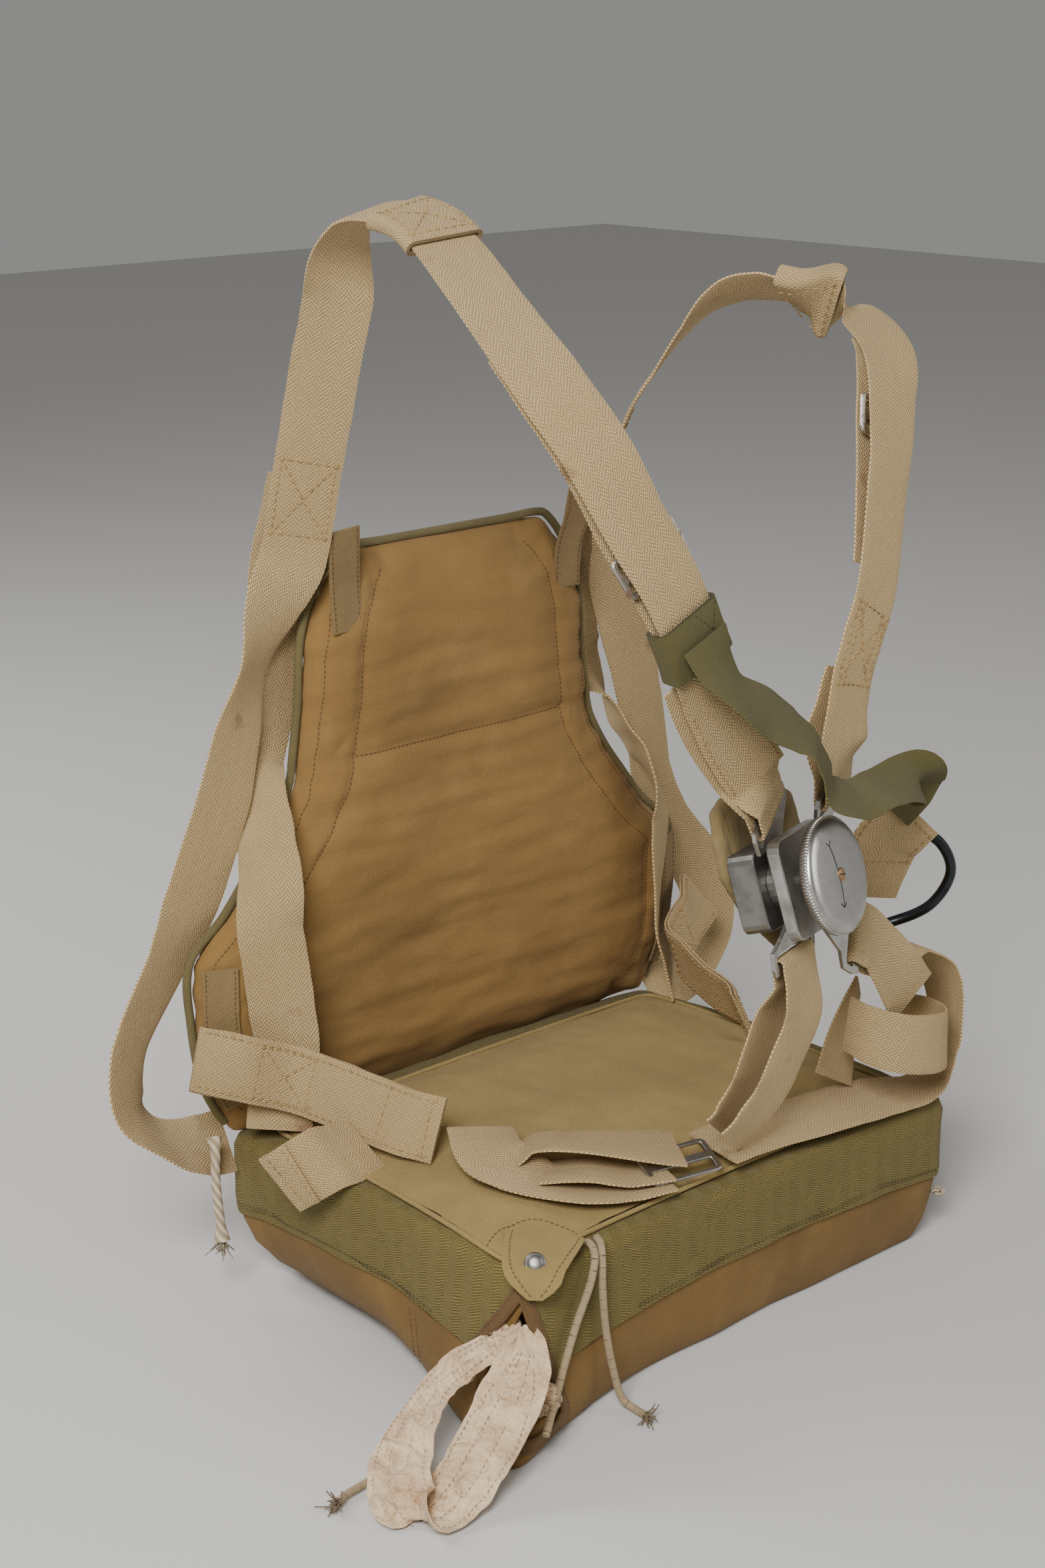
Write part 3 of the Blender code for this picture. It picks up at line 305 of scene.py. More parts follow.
canvas_brown = canvas_finish("canvas_brown", (0.205, 0.112, 0.024), (0.110, 0.060, 0.014),
                             (0.320, 0.190, 0.050), crease=0.0012, squeeze=EVEN)
# The second colour of the band is the painted shade of its rib grooves.
band_tape = tape_finish("band_tape", (0.265, 0.200, 0.045), (0.080, 0.058, 0.013), (0.165, 0.128, 0.030))
canvas_khaki = canvas_finish("canvas_khaki", (0.375, 0.265, 0.090), (0.245, 0.165, 0.052),
                             (0.450, 0.335, 0.130), 0.0016, 0.0003, 0.0012, EVEN)
lining_brown = canvas_finish("lining_brown", (0.290, 0.165, 0.045), (0.195, 0.106, 0.029),
                             (0.370, 0.225, 0.075), 0.0012, crease=0.0010, squeeze=(0, 0, 0.5))
binding_tan = canvas_finish("binding_tan", (0.300, 0.200, 0.080), (0.170, 0.110, 0.040),
                            (0.380, 0.270, 0.125), 0.0011, 0.0003)
piping_olive = canvas_finish("piping_olive", (0.190, 0.150, 0.055), (0.105, 0.080, 0.028),
                             (0.250, 0.205, 0.090), 0.0012, 0.0003)
lip_brown = canvas_finish("lip_brown", (0.130, 0.072, 0.022), (0.070, 0.040, 0.014), (0.220, 0.145, 0.060))
pad_cloth = canvas_finish("lock_pad_cloth", (0.150, 0.125, 0.040), (0.300, 0.190, 0.090),
                          (0.420, 0.300, 0.160), 0.0012, crease=0.003)
print("cloths:", [m.name for m in (canvas_brown, band_tape, canvas_khaki, lining_brown, binding_tan)])

# %% [markdown]
# Silk reflects softly and is creased by packing. The elastic cords have a tight cotton braid
# with a dark tracer thread, the ties are white cotton rope, and the metal is nickel-plated or
# blackened steel with fine scratches, some of it rusty.

# %% Silk, cords, thread and metal
TRACER_PITCH = 7.0
RUST = (0.140, 0.060, 0.025)


def silk_finish(name, main, shade):
    look = Finish(name, 0.46, Sheen_Weight=0.15, Sheen_Roughness=0.35,
                  Subsurface_Weight=0.08, Subsurface_Scale=0.01)
    below = look.bump(look.cloud(60.0, 5.0, 0.3, 0.7), 0.0042)
    look.bump(look.cloud(380.0, 3.0, 0.3, 0.7), 0.0005, below)
    return look.painted(look.mix(look.cloud(45.0, 4.0), main, shade))


def cord_finish(name, light, hollow_shade_and_fleck, pitch, strands, tracer=None, depth=0.0006):
    """Round cord: strands that wind one way, or a braid that winds both ways with a tracer thread; painted
    shade lies in the grooves between strands.
    """
    look = Finish(name, 0.88, Sheen_Weight=0.06, Sheen_Roughness=0.5)
    across, along = look.flat()
    turn = look.times(across, 2 * math.pi * strands)
    run = look.times(along, 2 * math.pi / pitch)
    one = look.sine(look.plus(turn, run))
    if tracer is None:
        height = look.plus(look.times(one, 0.5), 0.5)
    else:
        height = look.calc("ABSOLUTE", look.times(one, look.sine(look.calc("SUBTRACT", turn, run))))
    # painted light and shade: the crests of the strands take the lit tone and the grooves the shaded tone
    colour = look.mix(height, hollow_shade_and_fleck, light)
    if tracer is not None:
        ring = look.sine(look.times(along, 2 * math.pi / TRACER_PITCH))
        fleck = look.times(look.calc("GREATER_THAN", ring, 0.93), look.cloud(300.0))
        colour = look.mix(fleck, colour, tracer)
    # random patches of the same shaded tone
    colour = look.mix(look.times(look.cloud(70.0), 0.35), colour, hollow_shade_and_fleck)
    look.bump(height, depth)
    return look.painted(colour)


def metal_finish(name, colour, tarnish, smooth, rough, rust=0.0, grain=(1, 1, 8)):
    """Brushed metal whose roughness runs from smooth to rough, with spots of rust where asked."""
    look = Finish(name, rough, 1.0)
    brushed = look.cloud(320.0, 3.0, 0.3, 0.7, look.stretched(grain))
    blotch = look.cloud(60.0, 5.0, 0.42, 0.7)
    tone = look.mix(blotch, colour, tarnish)
    if rust:
        spots = look.times(look.cloud(130.0, 6.0, 0.52, 0.62), rust)
        tone = look.mix(spots, tone, RUST)
        look.tree.links.new(look.calc("SUBTRACT", 1.0, spots), look.shader.inputs["Metallic"])
    both = look.plus(look.times(brushed, 0.35), look.times(blotch, 0.65))
    span = add(look.tree, "ShaderNodeMapRange", {0: both, 3: smooth, 4: rough})
    look.tree.links.new(span.outputs[0], look.shader.inputs["Roughness"])
    look.bump(brushed, 0.00004)
    return look.painted(tone)


def thread_finish(name, colour):
    look = Finish(name, 0.8)
    return look.painted(look.mix(look.cloud(90.0), colour, tuple(c * 0.6 for c in colour)))


silk = silk_finish("silk", (0.800, 0.590, 0.370), (0.600, 0.400, 0.230))
# For each cord the first colour is the lit tone of the strands and the second the painted shade of the grooves.
elastic_braid = cord_finish("elastic_braid", (0.520, 0.400, 0.240), (0.300, 0.215, 0.115), 3.2, 5.0,
                            (0.110, 0.060, 0.030), 0.0003)
white_rope = cord_finish("white_rope", (0.700, 0.590, 0.420), (0.330, 0.250, 0.150), 9.0, 3.0, None, 0.0009)
steel = metal_finish("nickel_steel", (0.560, 0.545, 0.515), (0.330, 0.315, 0.290), 0.26, 0.50)
rusty_steel = metal_finish("rusty_steel", (0.520, 0.490, 0.440), (0.300, 0.255, 0.205), 0.30, 0.62, 0.85)
dark_steel = metal_finish("lock_steel", (0.300, 0.290, 0.270), (0.170, 0.160, 0.145), 0.34, 0.58)
# Blackened steel for the pull handle; the same dark material paints the shade in the lock's cut lines.
black_paint_and_groove_shade = metal_finish("blackened_steel_and_groove_shade", (0.050, 0.055, 0.062), (0.025, 0.028, 0.032), 0.25, 0.48)
brass = metal_finish("brass_screw", (0.450, 0.280, 0.130), (0.200, 0.120, 0.060), 0.35, 0.60)
# The cream thread is painted much darker than the cream webbing it is sewn with: a painted shade for the shadow
# round each stitch.
thread_cream = thread_finish("thread_cream", (0.430, 0.280, 0.110))
thread_brown = thread_finish("thread_brown", (0.160, 0.075, 0.030))
thread_olive = thread_finish("thread_olive", (0.080, 0.065, 0.022))
thread_silk = thread_finish("thread_silk", (0.500, 0.370, 0.260))
print("materials:", len(bpy.data.materials))

# %% [markdown]
# Webbing is described by stations: a place, and which way its width points there. A smooth
# curve through the stations gives the middle line, the direction across and the direction of
# the face. The same stations shape the solids, so the cloth lies where they are.

# %% Curves and frames


def curve_through(points, per_span=3, closed=False):
    """Smooth curve through the points, with per_span steps between neighbours."""
    points = np.asarray(points, float)
    count = len(points)
    out = []
    for i in range(count if closed else count - 1):
        if closed:
            p0, p1, p2, p3 = (points[(i + k) % count] for k in (-1, 0, 1, 2))
        else:
            p1, p2 = points[i], points[i + 1]
            p0 = points[i - 1] if i > 0 else 2 * p1 - p2
            p3 = points[i + 2] if i + 2 < count else 2 * p2 - p1
        chord = np.linalg.norm(p2 - p1)
        m1 = (p2 - p0) * chord / (np.linalg.norm(p1 - p0) + chord + TINY)
        m2 = (p3 - p1) * chord / (np.linalg.norm(p3 - p2) + chord + TINY)
        for k in range(per_span):
            t = k / per_span
            out.append((2 * t**3 - 3 * t**2 + 1) * p1 + (t**3 - 2 * t**2 + t) * m1
                       + (3 * t**2 - 2 * t**3) * p2 + (t**3 - t**2) * m2)
    if not closed:
        out.append(points[-1])
    return np.array(out)


def heading(turn, tilt):
    """Unit vector turned from +X towards +Y and tilted up, in degrees."""
    a, b = math.radians(turn), math.radians(tilt)
    return np.array([math.cos(a) * math.cos(b), math.sin(a) * math.cos(b), math.sin(b)])


def webbing_frames(stations, per_span=3):
    """Middle line, direction across and face direction along webbing.

    A station is x, y, z of the middle of the webbing, then the turn and tilt of its width.
    """
    middle = curve_through([s[:3] for s in stations], per_span)
    across = curve_through([heading(s[3], s[4]) for s in stations], per_span)
    run = np.gradient(middle, axis=0)
    run = unit(run)
    across = unit(across - (across * run).sum(1, keepdims=True) * run)
    return middle, across, np.cross(run, across)


def spread(value, count):
    """A number or a short list of numbers as one column of count numbers."""
    values = np.atleast_1d(np.asarray(value, float))
    shares = np.linspace(0, 1, len(values))
    return np.interp(np.linspace(0, 1, count), shares, values).reshape(-1, 1)


def half_width(widths, shares):
    """Half the width of a piece at shares of its length."""
    return np.interp(shares, np.linspace(0, 1, len(widths)), widths) / 2


def unit(rows):
    return rows / np.linalg.norm(rows, axis=1, keepdims=True)


def mirrored(stations):
    """The same stations on the wearer's other side."""
    return [(-x, y, z, -turn, -tilt) for x, y, z, turn, tilt in stations]


def distance(points):
    """Distance along a line of points at each of them."""
    return np.concatenate([[0.0], np.cumsum(np.linalg.norm(np.diff(points, axis=0), axis=1))])


def stretch(frames, centre, length, steps):
    """The frames of one stretch of webbing, evenly spaced about the place nearest a point."""
    along = distance(frames[0])
    here = along[np.argmin(np.linalg.norm(frames[0] - np.array(centre), axis=1))]
    spots = np.linspace(here - length / 2, here + length / 2, steps + 1)
    return [np.column_stack([np.interp(spots, along, part[:, c]) for c in range(3)]) for part in frames]


def on_strap(frames, along, across, lift):
    """Points on a strap: distances along and across it and off its middle, in mm."""
    reach = distance(frames[0])
    middle, side, face = ([np.interp(along, reach, part[:, c]) for c in range(3)] for part in frames)
    middle, side, face = (np.array(part).T for part in (middle, side, face))
    return middle + side * np.reshape(across, (-1, 1)) + face * np.reshape(lift, (-1, 1))


print("curve tools are ready")

# %% [markdown]
# Almost every soft piece here is a skin: rings of points that are joined by faces, with flat
# coordinates for its pattern. One function makes them all. A piece is finished when it rides
# on its body and stands for its solid.

# %% Making and finishing a piece


def shape(name, verts, faces, finish, flat=None):
    """Object from points in mm, with smooth shading and its faces outwards."""
    mesh = bpy.data.meshes.new(name)
    mesh.from_pydata([tuple(v) for v in np.asarray(verts, float) * MM], [], faces)
    if flat is not None:
        layer = mesh.uv_layers.new(name="UVMap")
        layer.data.foreach_set("uv", np.asarray(flat, np.float32).ravel())
    work = bmesh.new()
    work.from_mesh(mesh)
    bmesh.ops.recalc_face_normals(work, faces=work.faces)
    work.to_mesh(mesh)
    work.free()
    mesh.shade_smooth()
    mesh.set_sharp_from_angle(angle=math.radians(50))
    mesh.materials.append(finish)
    piece = bpy.data.objects.new(name, mesh)
    scene.collection.objects.link(piece)
    return piece


def skin(name, layers, finish, closed=False):
    """Closed skins through rings of points; each layer is its rings and their flat coordinates."""
    verts, faces, flat = [], [], []
    for rings, where in layers:
        first = len(verts)
        rows, count = rings.shape[:2]
        verts.extend(rings.reshape(-1, 3))
        for i in range(rows if closed else rows - 1):
            j = (i + 1) % rows
            for k in range(count):
                n = (k + 1) % count
                a, b = first + i * count, first + j * count
                faces.append([a + k, a + n, b + n, b + k])
                flat += [where[i][k], where[i][k + 1], where[i + 1][k + 1], where[i + 1][k]]
        if not closed:
            for i in (0, rows - 1):
                faces.append([first + i * count + k for k in range(count)])
                flat += [where[i][k] for k in range(count)]
    return shape(name, verts, faces, finish, flat)


def settle(piece, slot, *replaced, body="pack"):
    """Fix a finished piece to its body and hide the solids that it stands for; slot is not used."""
    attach(piece, body)
    if replaced:
        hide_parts(*replaced)
    return piece


def tree_of(piece):
    """Search tree over the faces of a piece, in mm."""
    faces = [tuple(p.vertices) for p in piece.data.polygons]
    return BVHTree.FromPolygons([v.co / MM for v in piece.data.vertices], faces)


def ripple(point, size, amount):
    return amount * noise.noise(Vector(point) / size)


SEAMS = {}


def sew(thread, points):
    """Remember a line of stitches in this thread; all are sewn in one go near the end."""
    SEAMS.setdefault(thread, []).append(np.asarray(points, float))


print("skins, settling and sewing are ready")

# %% [markdown]
# A strap is a flat section with soft edges that is carried along its frames. Its edges waver a
# little and its face is never quite flat, which is most of what makes webbing look like cloth.

# %% Straps
SECTION_POINTS = 10


def strap_layer(frames, width, thickness, lift=0.0, waver=1.0):
    middle, across, face = frames
    count = len(middle)
    middle = middle + face * spread(lift, count)
    along = distance(middle)
    half = spread(width, count)[:, 0] / 2
    shares = np.sin(np.linspace(-math.pi / 2, math.pi / 2, SECTION_POINTS))
    columns = np.concatenate([shares, shares[::-1]])
    side = np.repeat([1.0, -1.0], SECTION_POINTS) * (1 - 0.45 * np.abs(columns) ** 12)
    edge = np.array([[ripple((s / 14.0, 3.7 * e, middle[0][0]), 1.0, 0.5 * waver) for e in (0, 1)]
                     for s in along])
    grow = np.where(columns > 0, edge[:, :1], edge[:, 1:]) * np.abs(columns) ** 3
    reach = columns * half[:, None] + grow * np.sign(columns)
    rings = middle[:, None] + across[:, None] * reach[..., None]
    swell = np.array([[ripple(rings[i][k], 11.0, 0.28 * waver) for k in range(SECTION_POINTS)]
                      for i in range(count)])
    swell = np.concatenate([swell, swell[:, ::-1]], axis=1)
    rings = rings + face[:, None] * (side * thickness / 2 + swell)[..., None]
    u = columns * half[:, None] + np.max(half)
    flat = np.stack([u, np.broadcast_to(along[:, None], u.shape)], axis=-1)
    return rings, np.concatenate([flat, flat[:, :1]], axis=1)


def strap(name, frames, finish, slot, solid, width=45.0, thickness=2.5, lift=0.0, plies=1):
    """A strap of one or more plies that stands for a solid."""
    if plies == 1:
        layers = [strap_layer(frames, width, thickness, lift)]
    else:
        ply = thickness / plies
        layers = [strap_layer(frames, width - 0.8 * k, ply - 0.12, lift + (k - (plies - 1) / 2) * ply)
                  for k in range(plies)]
    settle(skin(name, layers, finish), slot, solid)


def webbing(solid, frames, **sizes):
    """A strap of cream webbing, named after its solid."""
    strap(solid + "_webbing", frames, webbing_cream, "webbing", solid, **sizes)


def box_of_stitches(thread, frames, start, end, half, lift, cross=True):
    """Sewn box with its cross, on both faces of a strap."""
    for side in (1, -1):
        corners = [(start, -half), (end, -half), (end, half), (start, half), (start, -half)]
        if cross:
            corners += [(end, half), (end, -half), (start, half)]
        for (a, u), (b, v) in zip(corners, corners[1:]):
            steps = max(2, int(math.hypot(b - a, v - u) / 2.0))
            sew(thread, on_strap(frames, np.linspace(a, b, steps), np.linspace(u, v, steps), side * lift))


def edge_stitches(thread, frames, start, end, half, lift):
    """A row of stitches along both edges, on both faces."""
    steps = max(2, int((end - start) / 2.0))
    for side in (1, -1):
        for u in (-half, half):
            sew(thread, on_strap(frames, np.linspace(start, end, steps), np.full(steps, u), side * lift))


def cross_stitches(thread, frames, spots, half, lift):
    """Rows of stitches from edge to edge at some distances along a strap, on both faces."""
    for spot in spots:
        for side in (1, -1):
            sew(thread, on_strap(frames, np.full(18, spot), np.linspace(-half, half, 18), side * lift))


def folded_over(frames, back, rise):
    """The same strap with its end turned up over itself and laid back."""
    middle, across, face = frames
    along = distance(middle)
    side = 1.0 if face[-1] @ (-1.0, -1.0, 0.7) > 0 else -1.0
    run = (middle[-1] - middle[-2]) / np.linalg.norm(middle[-1] - middle[-2])
    turns = np.linspace(0, math.pi, 8)[1:-1]
    bend = [middle[-1] + rise / 2 * (run * math.sin(t) + side * face[-1] * (1 - math.cos(t)))
            for t in turns]
    bend_face = [face[-1] * math.cos(t) - side * run * math.sin(t) for t in turns]
    laid = np.where(along >= along[-1] - back)[0][::-1]
    return (np.vstack([middle, bend, middle[laid] + side * rise * face[laid]]),
            np.vstack([across, np.repeat(across[-1:], len(turns), axis=0), across[laid]]),
            np.vstack([face, bend_face, -face[laid]]))


def reach_of(frames, place):
    """Distance along a strap of the place nearest a point."""
    return distance(frames[0])[np.argmin(np.linalg.norm(frames[0] - np.array(place), axis=1))]


print("strap tools are ready")

# %% [markdown]
# The sizes of the lock come first, because four lugs hold the ends of the webbing there. Each
# lug has a bar; the webbing folds round it, and these stations give that fold.

# %% The lock's sizes and the folds round its lugs
DISC_FACE = Vector((39.0, -185.0, 322.0))
LOCK_OUT = Vector((0.25, -0.92, 0.30)).normalized()
DISC_RADIUS = 39.0
DISC_THICK = 10.0
LUG_DEPTH = 38.5
LUG_ROOT_RADIUS = 18.6
FOLD_HALF = 4.0
LUGS = {
    # middle of the head's bar, and the way the webbing leaves it
    "upper_right": ((14.0, -142.0, 361.0), (-0.46, -0.04, 0.885)),
    "upper_left": ((99.3, -125.0, 355.0), (-0.16, -0.16, 0.97)),
    "lower_right": ((24.0, -160.0, 261.0), (0.05, -0.10, -0.99)),
    "lower_left": ((92.0, -156.0, 261.0), (0.83, -0.05, -0.56)),
}


def lug_frame(head, away):
    """Place and directions of a lug's head, and where its root sits in the lock.

    away points from the lock along the webbing. The root stays in the gap between the lock's
    plate and base, in the flat plane of the lug.
    """
    head = Vector(head)
    up = Vector(away).normalized()
    out = (LOCK_OUT - up * LOCK_OUT.dot(up)).normalized()
    level = DISC_FACE - LOCK_OUT * LUG_DEPTH
    towards = head - level
    towards -= LOCK_OUT * towards.dot(LOCK_OUT)
    root = level + towards.normalized() * LUG_ROOT_RADIUS
    root -= LOCK_OUT * ((root - head).dot(out) / LOCK_OUT.dot(out))
    return head, out, up, root


def fold(head, away, near=14.0):
    """Stations of webbing folded round a lug's bar, from the front layer to the back layer."""
    head, out, up, _ = lug_frame(head, away)
    side = up.cross(out)
    side = -side if side.x < 0 else side
    turn = math.degrees(math.atan2(side.y, side.x))
    tilt = math.degrees(math.asin(side.z))
    spots = ((near, FOLD_HALF + 0.5), (3.0, FOLD_HALF), (-4.4, 3.4), (-6.2, 0.0),
             (-4.4, -3.4), (3.0, -FOLD_HALF), (near, -FOLD_HALF - 0.5))
    return [(*(head + up * a + out * b), turn, tilt) for a, b in spots]


print("lugs:", list(LUGS))

# %% [markdown]
# The two slings are the backbone of the harness: each starts at a rear corner of the pack,
# hangs in a loop, climbs the back, crosses the shoulder and comes down the chest to its lug,
# folds round it and runs back up. Every table lists x, y, z of the middle of the webbing, then
# the turn and the tilt of its width in degrees.

# %% Slings
SLING_BACK = (
    (-209.4, 149, 103, 44, 40),
    (-230, 148, 106, 45, 33),
    (-249, 149, 112, 46, 14),
    (-267, 152, 124, 40, -8),
    (-281, 155, 142, 28, -18),
    (-285, 157, 165, 26, -15),
    (-277, 161, 190, 24, -15),
    (-260, 165, 212, 20, -15),
    (-240, 167, 238, 15, -20),
    (-223, 162, 275, -5, -10),
    (-210, 156, 315, -5, -10),
    (-198, 153, 350, 0, -10),
    (-187, 152, 390, 10, -12),
    (-172, 150, 436, 30, -15),
    (-158, 146, 475, -5, -10),
    (-144, 142, 505, -35, 0),
    (-143, 130, 550, -35, 0),
    (-142, 118, 595, -40, 0),
)
SLING_RIGHT = (
    (-142, 105, 640, -43, 0),
    (-142, 92, 680, -35, 0),
    (-148, 82, 712, 0, 0),
    (-153, 62, 732, 20, 5),
    (-153, 35, 738, 15, 10),
    (-150, 0, 733, 5, 10),
    (-152, -30, 716, 0, 15),
    (-155, -65, 690, -5, 15),
    (-145, -100, 650, -15, 20),
    (-125, -125, 605, -15, 20),
    (-105, -137, 562, -10, 15),
    (-82, -146, 522, -5, 10),
    (-66, -149, 488, 0, 10),
    (-54, -148, 464, -5, 4),
    (-40, -147, 440, -10, 0),
    (-21, -146.5, 412, -14, 0),
    (0, -146, 386, -12, 0),
)
SLING_LEFT = (
    (146, 115, 575, 40, 0),
    (150, 90, 610, 38, 0),
    (155, 60, 645, 30, -5),
    (161, 30, 666, 10, -20),
    (167, 0, 671, -25, -25),
    (174, -30, 666, -50, -25),
    (190, -56, 656, -45, -22),
    (190, -83, 636, -25, -18),
    (176, -100, 612, -5, -15),
    (155, -118, 569, 3, -15),
    (145, -124, 543, 5, -15),
    (134, -130, 503, 5, -15),
    (126, -133, 480, 5, -15),
    (111, -136, 456, 5, -15),
    (102, -137, 436, 5, -15),
    (97, -137, 412, 5, -15),
    (96, -136, 388, 0, -10),
)
RIGHT_END = [(-8, -140.5, 392, -12, 0), (-29, -141, 416, -14, 0),
             (-47, -141.5, 440, -10, 0), (-61, -142, 464, -5, 4)]
LEFT_END = [(94, -123, 391, 0, -10), (96, -127, 412, 5, -15), (103, -129.5, 437, 5, -15)]
FINE = 8

right = webbing_frames([*SLING_BACK, *SLING_RIGHT, *fold(*LUGS["upper_right"]), *RIGHT_END], FINE)
left = webbing_frames([*mirrored(SLING_BACK[:-2]), *SLING_LEFT, *fold(*LUGS["upper_left"]), *LEFT_END], FINE)
webbing("sling_right", right)
webbing("sling_left", left)
print("sling lengths in mm:", round(distance(right[0])[-1]), round(distance(left[0])[-1]))

# %% [markdown]
# Shorter lengths lie under the slings at the front and carry the slides. Seam rows and crossed
# boxes hold the plies together where the real harness is sewn.

# %% Under straps and sewing on the slings
under_right = stretch(right, (-116, -130, 585), 210.0, 90)
under_left = stretch(left, (160, -115, 580), 170.0, 80)
UNDER_RIGHT_LIFT = [-3.3, -6, -8, -10, -10, -6.6]
UNDER_LEFT_LIFT = [-3.3, -9, -12, -11, -8, -6]
webbing("under_strap_right", under_right, lift=UNDER_RIGHT_LIFT)
webbing("under_strap_left", under_left, lift=UNDER_LEFT_LIFT)
SEWN_LIFT = 1.55
sewn = reach_of(left, (111, -136, 456))
box_of_stitches("thread_cream", left, sewn - 22, sewn + 30, 17.5, SEWN_LIFT)
box_of_stitches("thread_cream", left, sewn - 22, sewn + 30, 11.0, SEWN_LIFT, cross=False)
sewn = reach_of(right, (-40, -147, 440))
edge_stitches("thread_cream", right, sewn - 6, sewn + 62, 19.0, SEWN_LIFT)
for frames, x in ((right, -143), (left, 143)):
    sewn = reach_of(frames, (x, 130, 550))
    box_of_stitches("thread_cream", frames, sewn - 30, sewn + 22, 18.0, SEWN_LIFT)
print("seam lines so far:", len(SEAMS["thread_cream"]))

# %% [markdown]
# A keeper is webbing sewn into a flat sleeve that the sling passes through. The olive band is
# one more sleeve, of thinner ribbed webbing, and the pull strap starts from it.

# %% Keepers and the olive band


def rounded_box(half_x, half_y, corner, steps=3):
    """Outline of a rectangle with round corners, anticlockwise from the lower right."""
    out = []
    for sx, sy, start in ((1, -1, -90), (1, 1, 0), (-1, 1, 90), (-1, -1, 180)):
        for k in range(steps + 1):
            a = math.radians(start + 90 * k / steps)
            out.append((sx * (half_x - corner) + corner * math.cos(a),
                        sy * (half_y - corner) + corner * math.sin(a)))
    return out


def sleeve_layer(frames, inside, thickness, lift=0.0):
    """Rings across the wall of a sleeve, all the way round it."""
    outer = np.array(rounded_box(inside[0] / 2 + thickness, inside[1] / 2 + thickness, 5.0, 6))
    inner = np.array(rounded_box(inside[0] / 2, inside[1] / 2, 3.0, 6))
    outline = distance(np.vstack([outer, outer[:1]]))
    middle, across, face = frames
    count = len(middle)
    along = distance(middle)
    rows = []
    for i in list(range(count)) + list(range(count - 1, -1, -1)):
        section = outer if len(rows) < count else inner
        ring = [middle[i] + across[i] * u + face[i] * (v + lift) for u, v in section]
        if len(rows) < count:
            ring = [p + face[i] * ripple(p, 9.0, 0.35) for p in ring]
        rows.append(ring)
    flat = [[(u, along[i % count]) for u in outline] for i in range(2 * count)]
    return np.array(rows), np.array(flat + flat[:1])


def sleeve(name, frames, inside, thickness, finish, slot, replaced, lift=0.0):
    settle(skin(name, [sleeve_layer(frames, inside, thickness, lift)], finish, closed=True), slot, replaced)


keeper = stretch(right, (-150, 0, 733), 46.0, 22)
sleeve("keeper_right_webbing", keeper, (49.0, 6.0), 2.5, webbing_cream, "webbing", "keeper_right")
box_of_stitches("thread_cream", keeper, 6, 40, 21.0, 5.75)
keeper = stretch(left, (174, -30, 666), 34.0, 18)
sleeve("keeper_left_webbing", keeper, (51.0, 11.0), 2.5, webbing_cream, "webbing", "keeper_left", 1.3)
box_of_stitches("thread_cream", keeper, 5, 29, 21.0, 9.4, cross=False)
olive_band = stretch(right, (-66, -149, 490), 36.0, 18)
sleeve("olive_band_webbing", olive_band, (46.6, 14.0), 2.2, webbing_olive, "webbing_olive", "olive_band", -3.2)
for start, end in ((3, 33), (33, 3)):
    spots = np.linspace(0, 1, 16)
    sew("thread_olive", on_strap(olive_band, start + (end - start) * spots, 4 + 17 * spots, 6.2))
print("sleeves: keeper_right, keeper_left, olive_band")

# %% [markdown]
# The back straps run down from the crossing behind the shoulders to the hips. The hip straps
# are two plies sewn together with a row along each edge and a crossed box at the joint, and
# the free end on the right is folded over and sewn.

# %% Back and hip straps
BACK_STRAP = (
    (-140, 136, 558, -40, 0),
    (-141, 145, 528, -40, 0),
    (-141, 155, 503, -30, 0),
    (-140, 163, 478, -10, -5),
    (-140, 166, 440, 0, -8),
    (-142, 169, 410, 5, -8),
    (-150, 169, 386, 0, -5),
    (-163, 168, 366, -25, -5),
    (-169, 160, 350, -60, -5),
    (-172, 149, 331, -72, -6),
    (-178, 135, 312, -75, -6),
    (-184, 124, 290, -56, -6),
    (-189, 120, 262, -30, 0),
    (-187, 118, 240, -30, 3),
    (-184, 116, 205, -38, 0),
    (-182, 114, 175, -42, 0),
    (-189, 111, 150, -40, 0),
    (-196, 107, 120.4, -38, -5),
)
HIP_STRAP = (
    (-247, 131, 180, 52, 54),
    (-220, 115, 170, 23, 72),
    (-187, 100, 157, 25, 72),
    (-175, 71, 152, 25, 72),
    (-166, 41, 147, -3, 66),
    (-161, 14, 145, -18, 58),
    (-150, -6, 142.2, -25, 48),
)
HIP_LEFT_END = (150, -6, 141.4, 25, -48)
HIP_FREE_END = (
    (-180, 36, 130.0, 121, 36),
    (-198, 33, 128.9, 123, 38),
    (-215, 34, 129, 123, 38),
    (-228, 41, 122, 125, 32),
    (-235, 54, 112, 128, 27),
)
BACK_LIFT = [-3, -2, 0, 0, 0, 0, 0, 0, 0]
SEWN_THICK = 4.6
HIP_SEAM_LIFT = SEWN_THICK / 2 + 0.15
FOLD_BACK = 18.0
FOLD_RISE = 3.1

webbing("back_strap_right", webbing_frames(BACK_STRAP, FINE), lift=BACK_LIFT)
webbing("back_strap_left", webbing_frames(mirrored(BACK_STRAP), FINE), lift=BACK_LIFT)
for name, stations in (("hip_strap_right", HIP_STRAP),
                       ("hip_strap_left", mirrored(HIP_STRAP[:-1]) + [HIP_LEFT_END])):
    hip = webbing_frames(stations, 12)
    webbing(name, hip, thickness=SEWN_THICK, plies=2)
    long = distance(hip[0])[-1]
    edge_stitches("thread_cream", hip, 6, long - 6, 18.5, HIP_SEAM_LIFT)
    box_of_stitches("thread_cream", hip, 44, 84, 17.0, HIP_SEAM_LIFT)
    cross_stitches("thread_cream", hip, (long - 42, long - 8), 18, HIP_SEAM_LIFT)
free_end = folded_over(webbing_frames(HIP_FREE_END, 12), FOLD_BACK, FOLD_RISE)
strap("hip_free_end_webbing", free_end, webbing_cream, "webbing", "hip_free_end_right")
tail = distance(free_end[0])[-1]
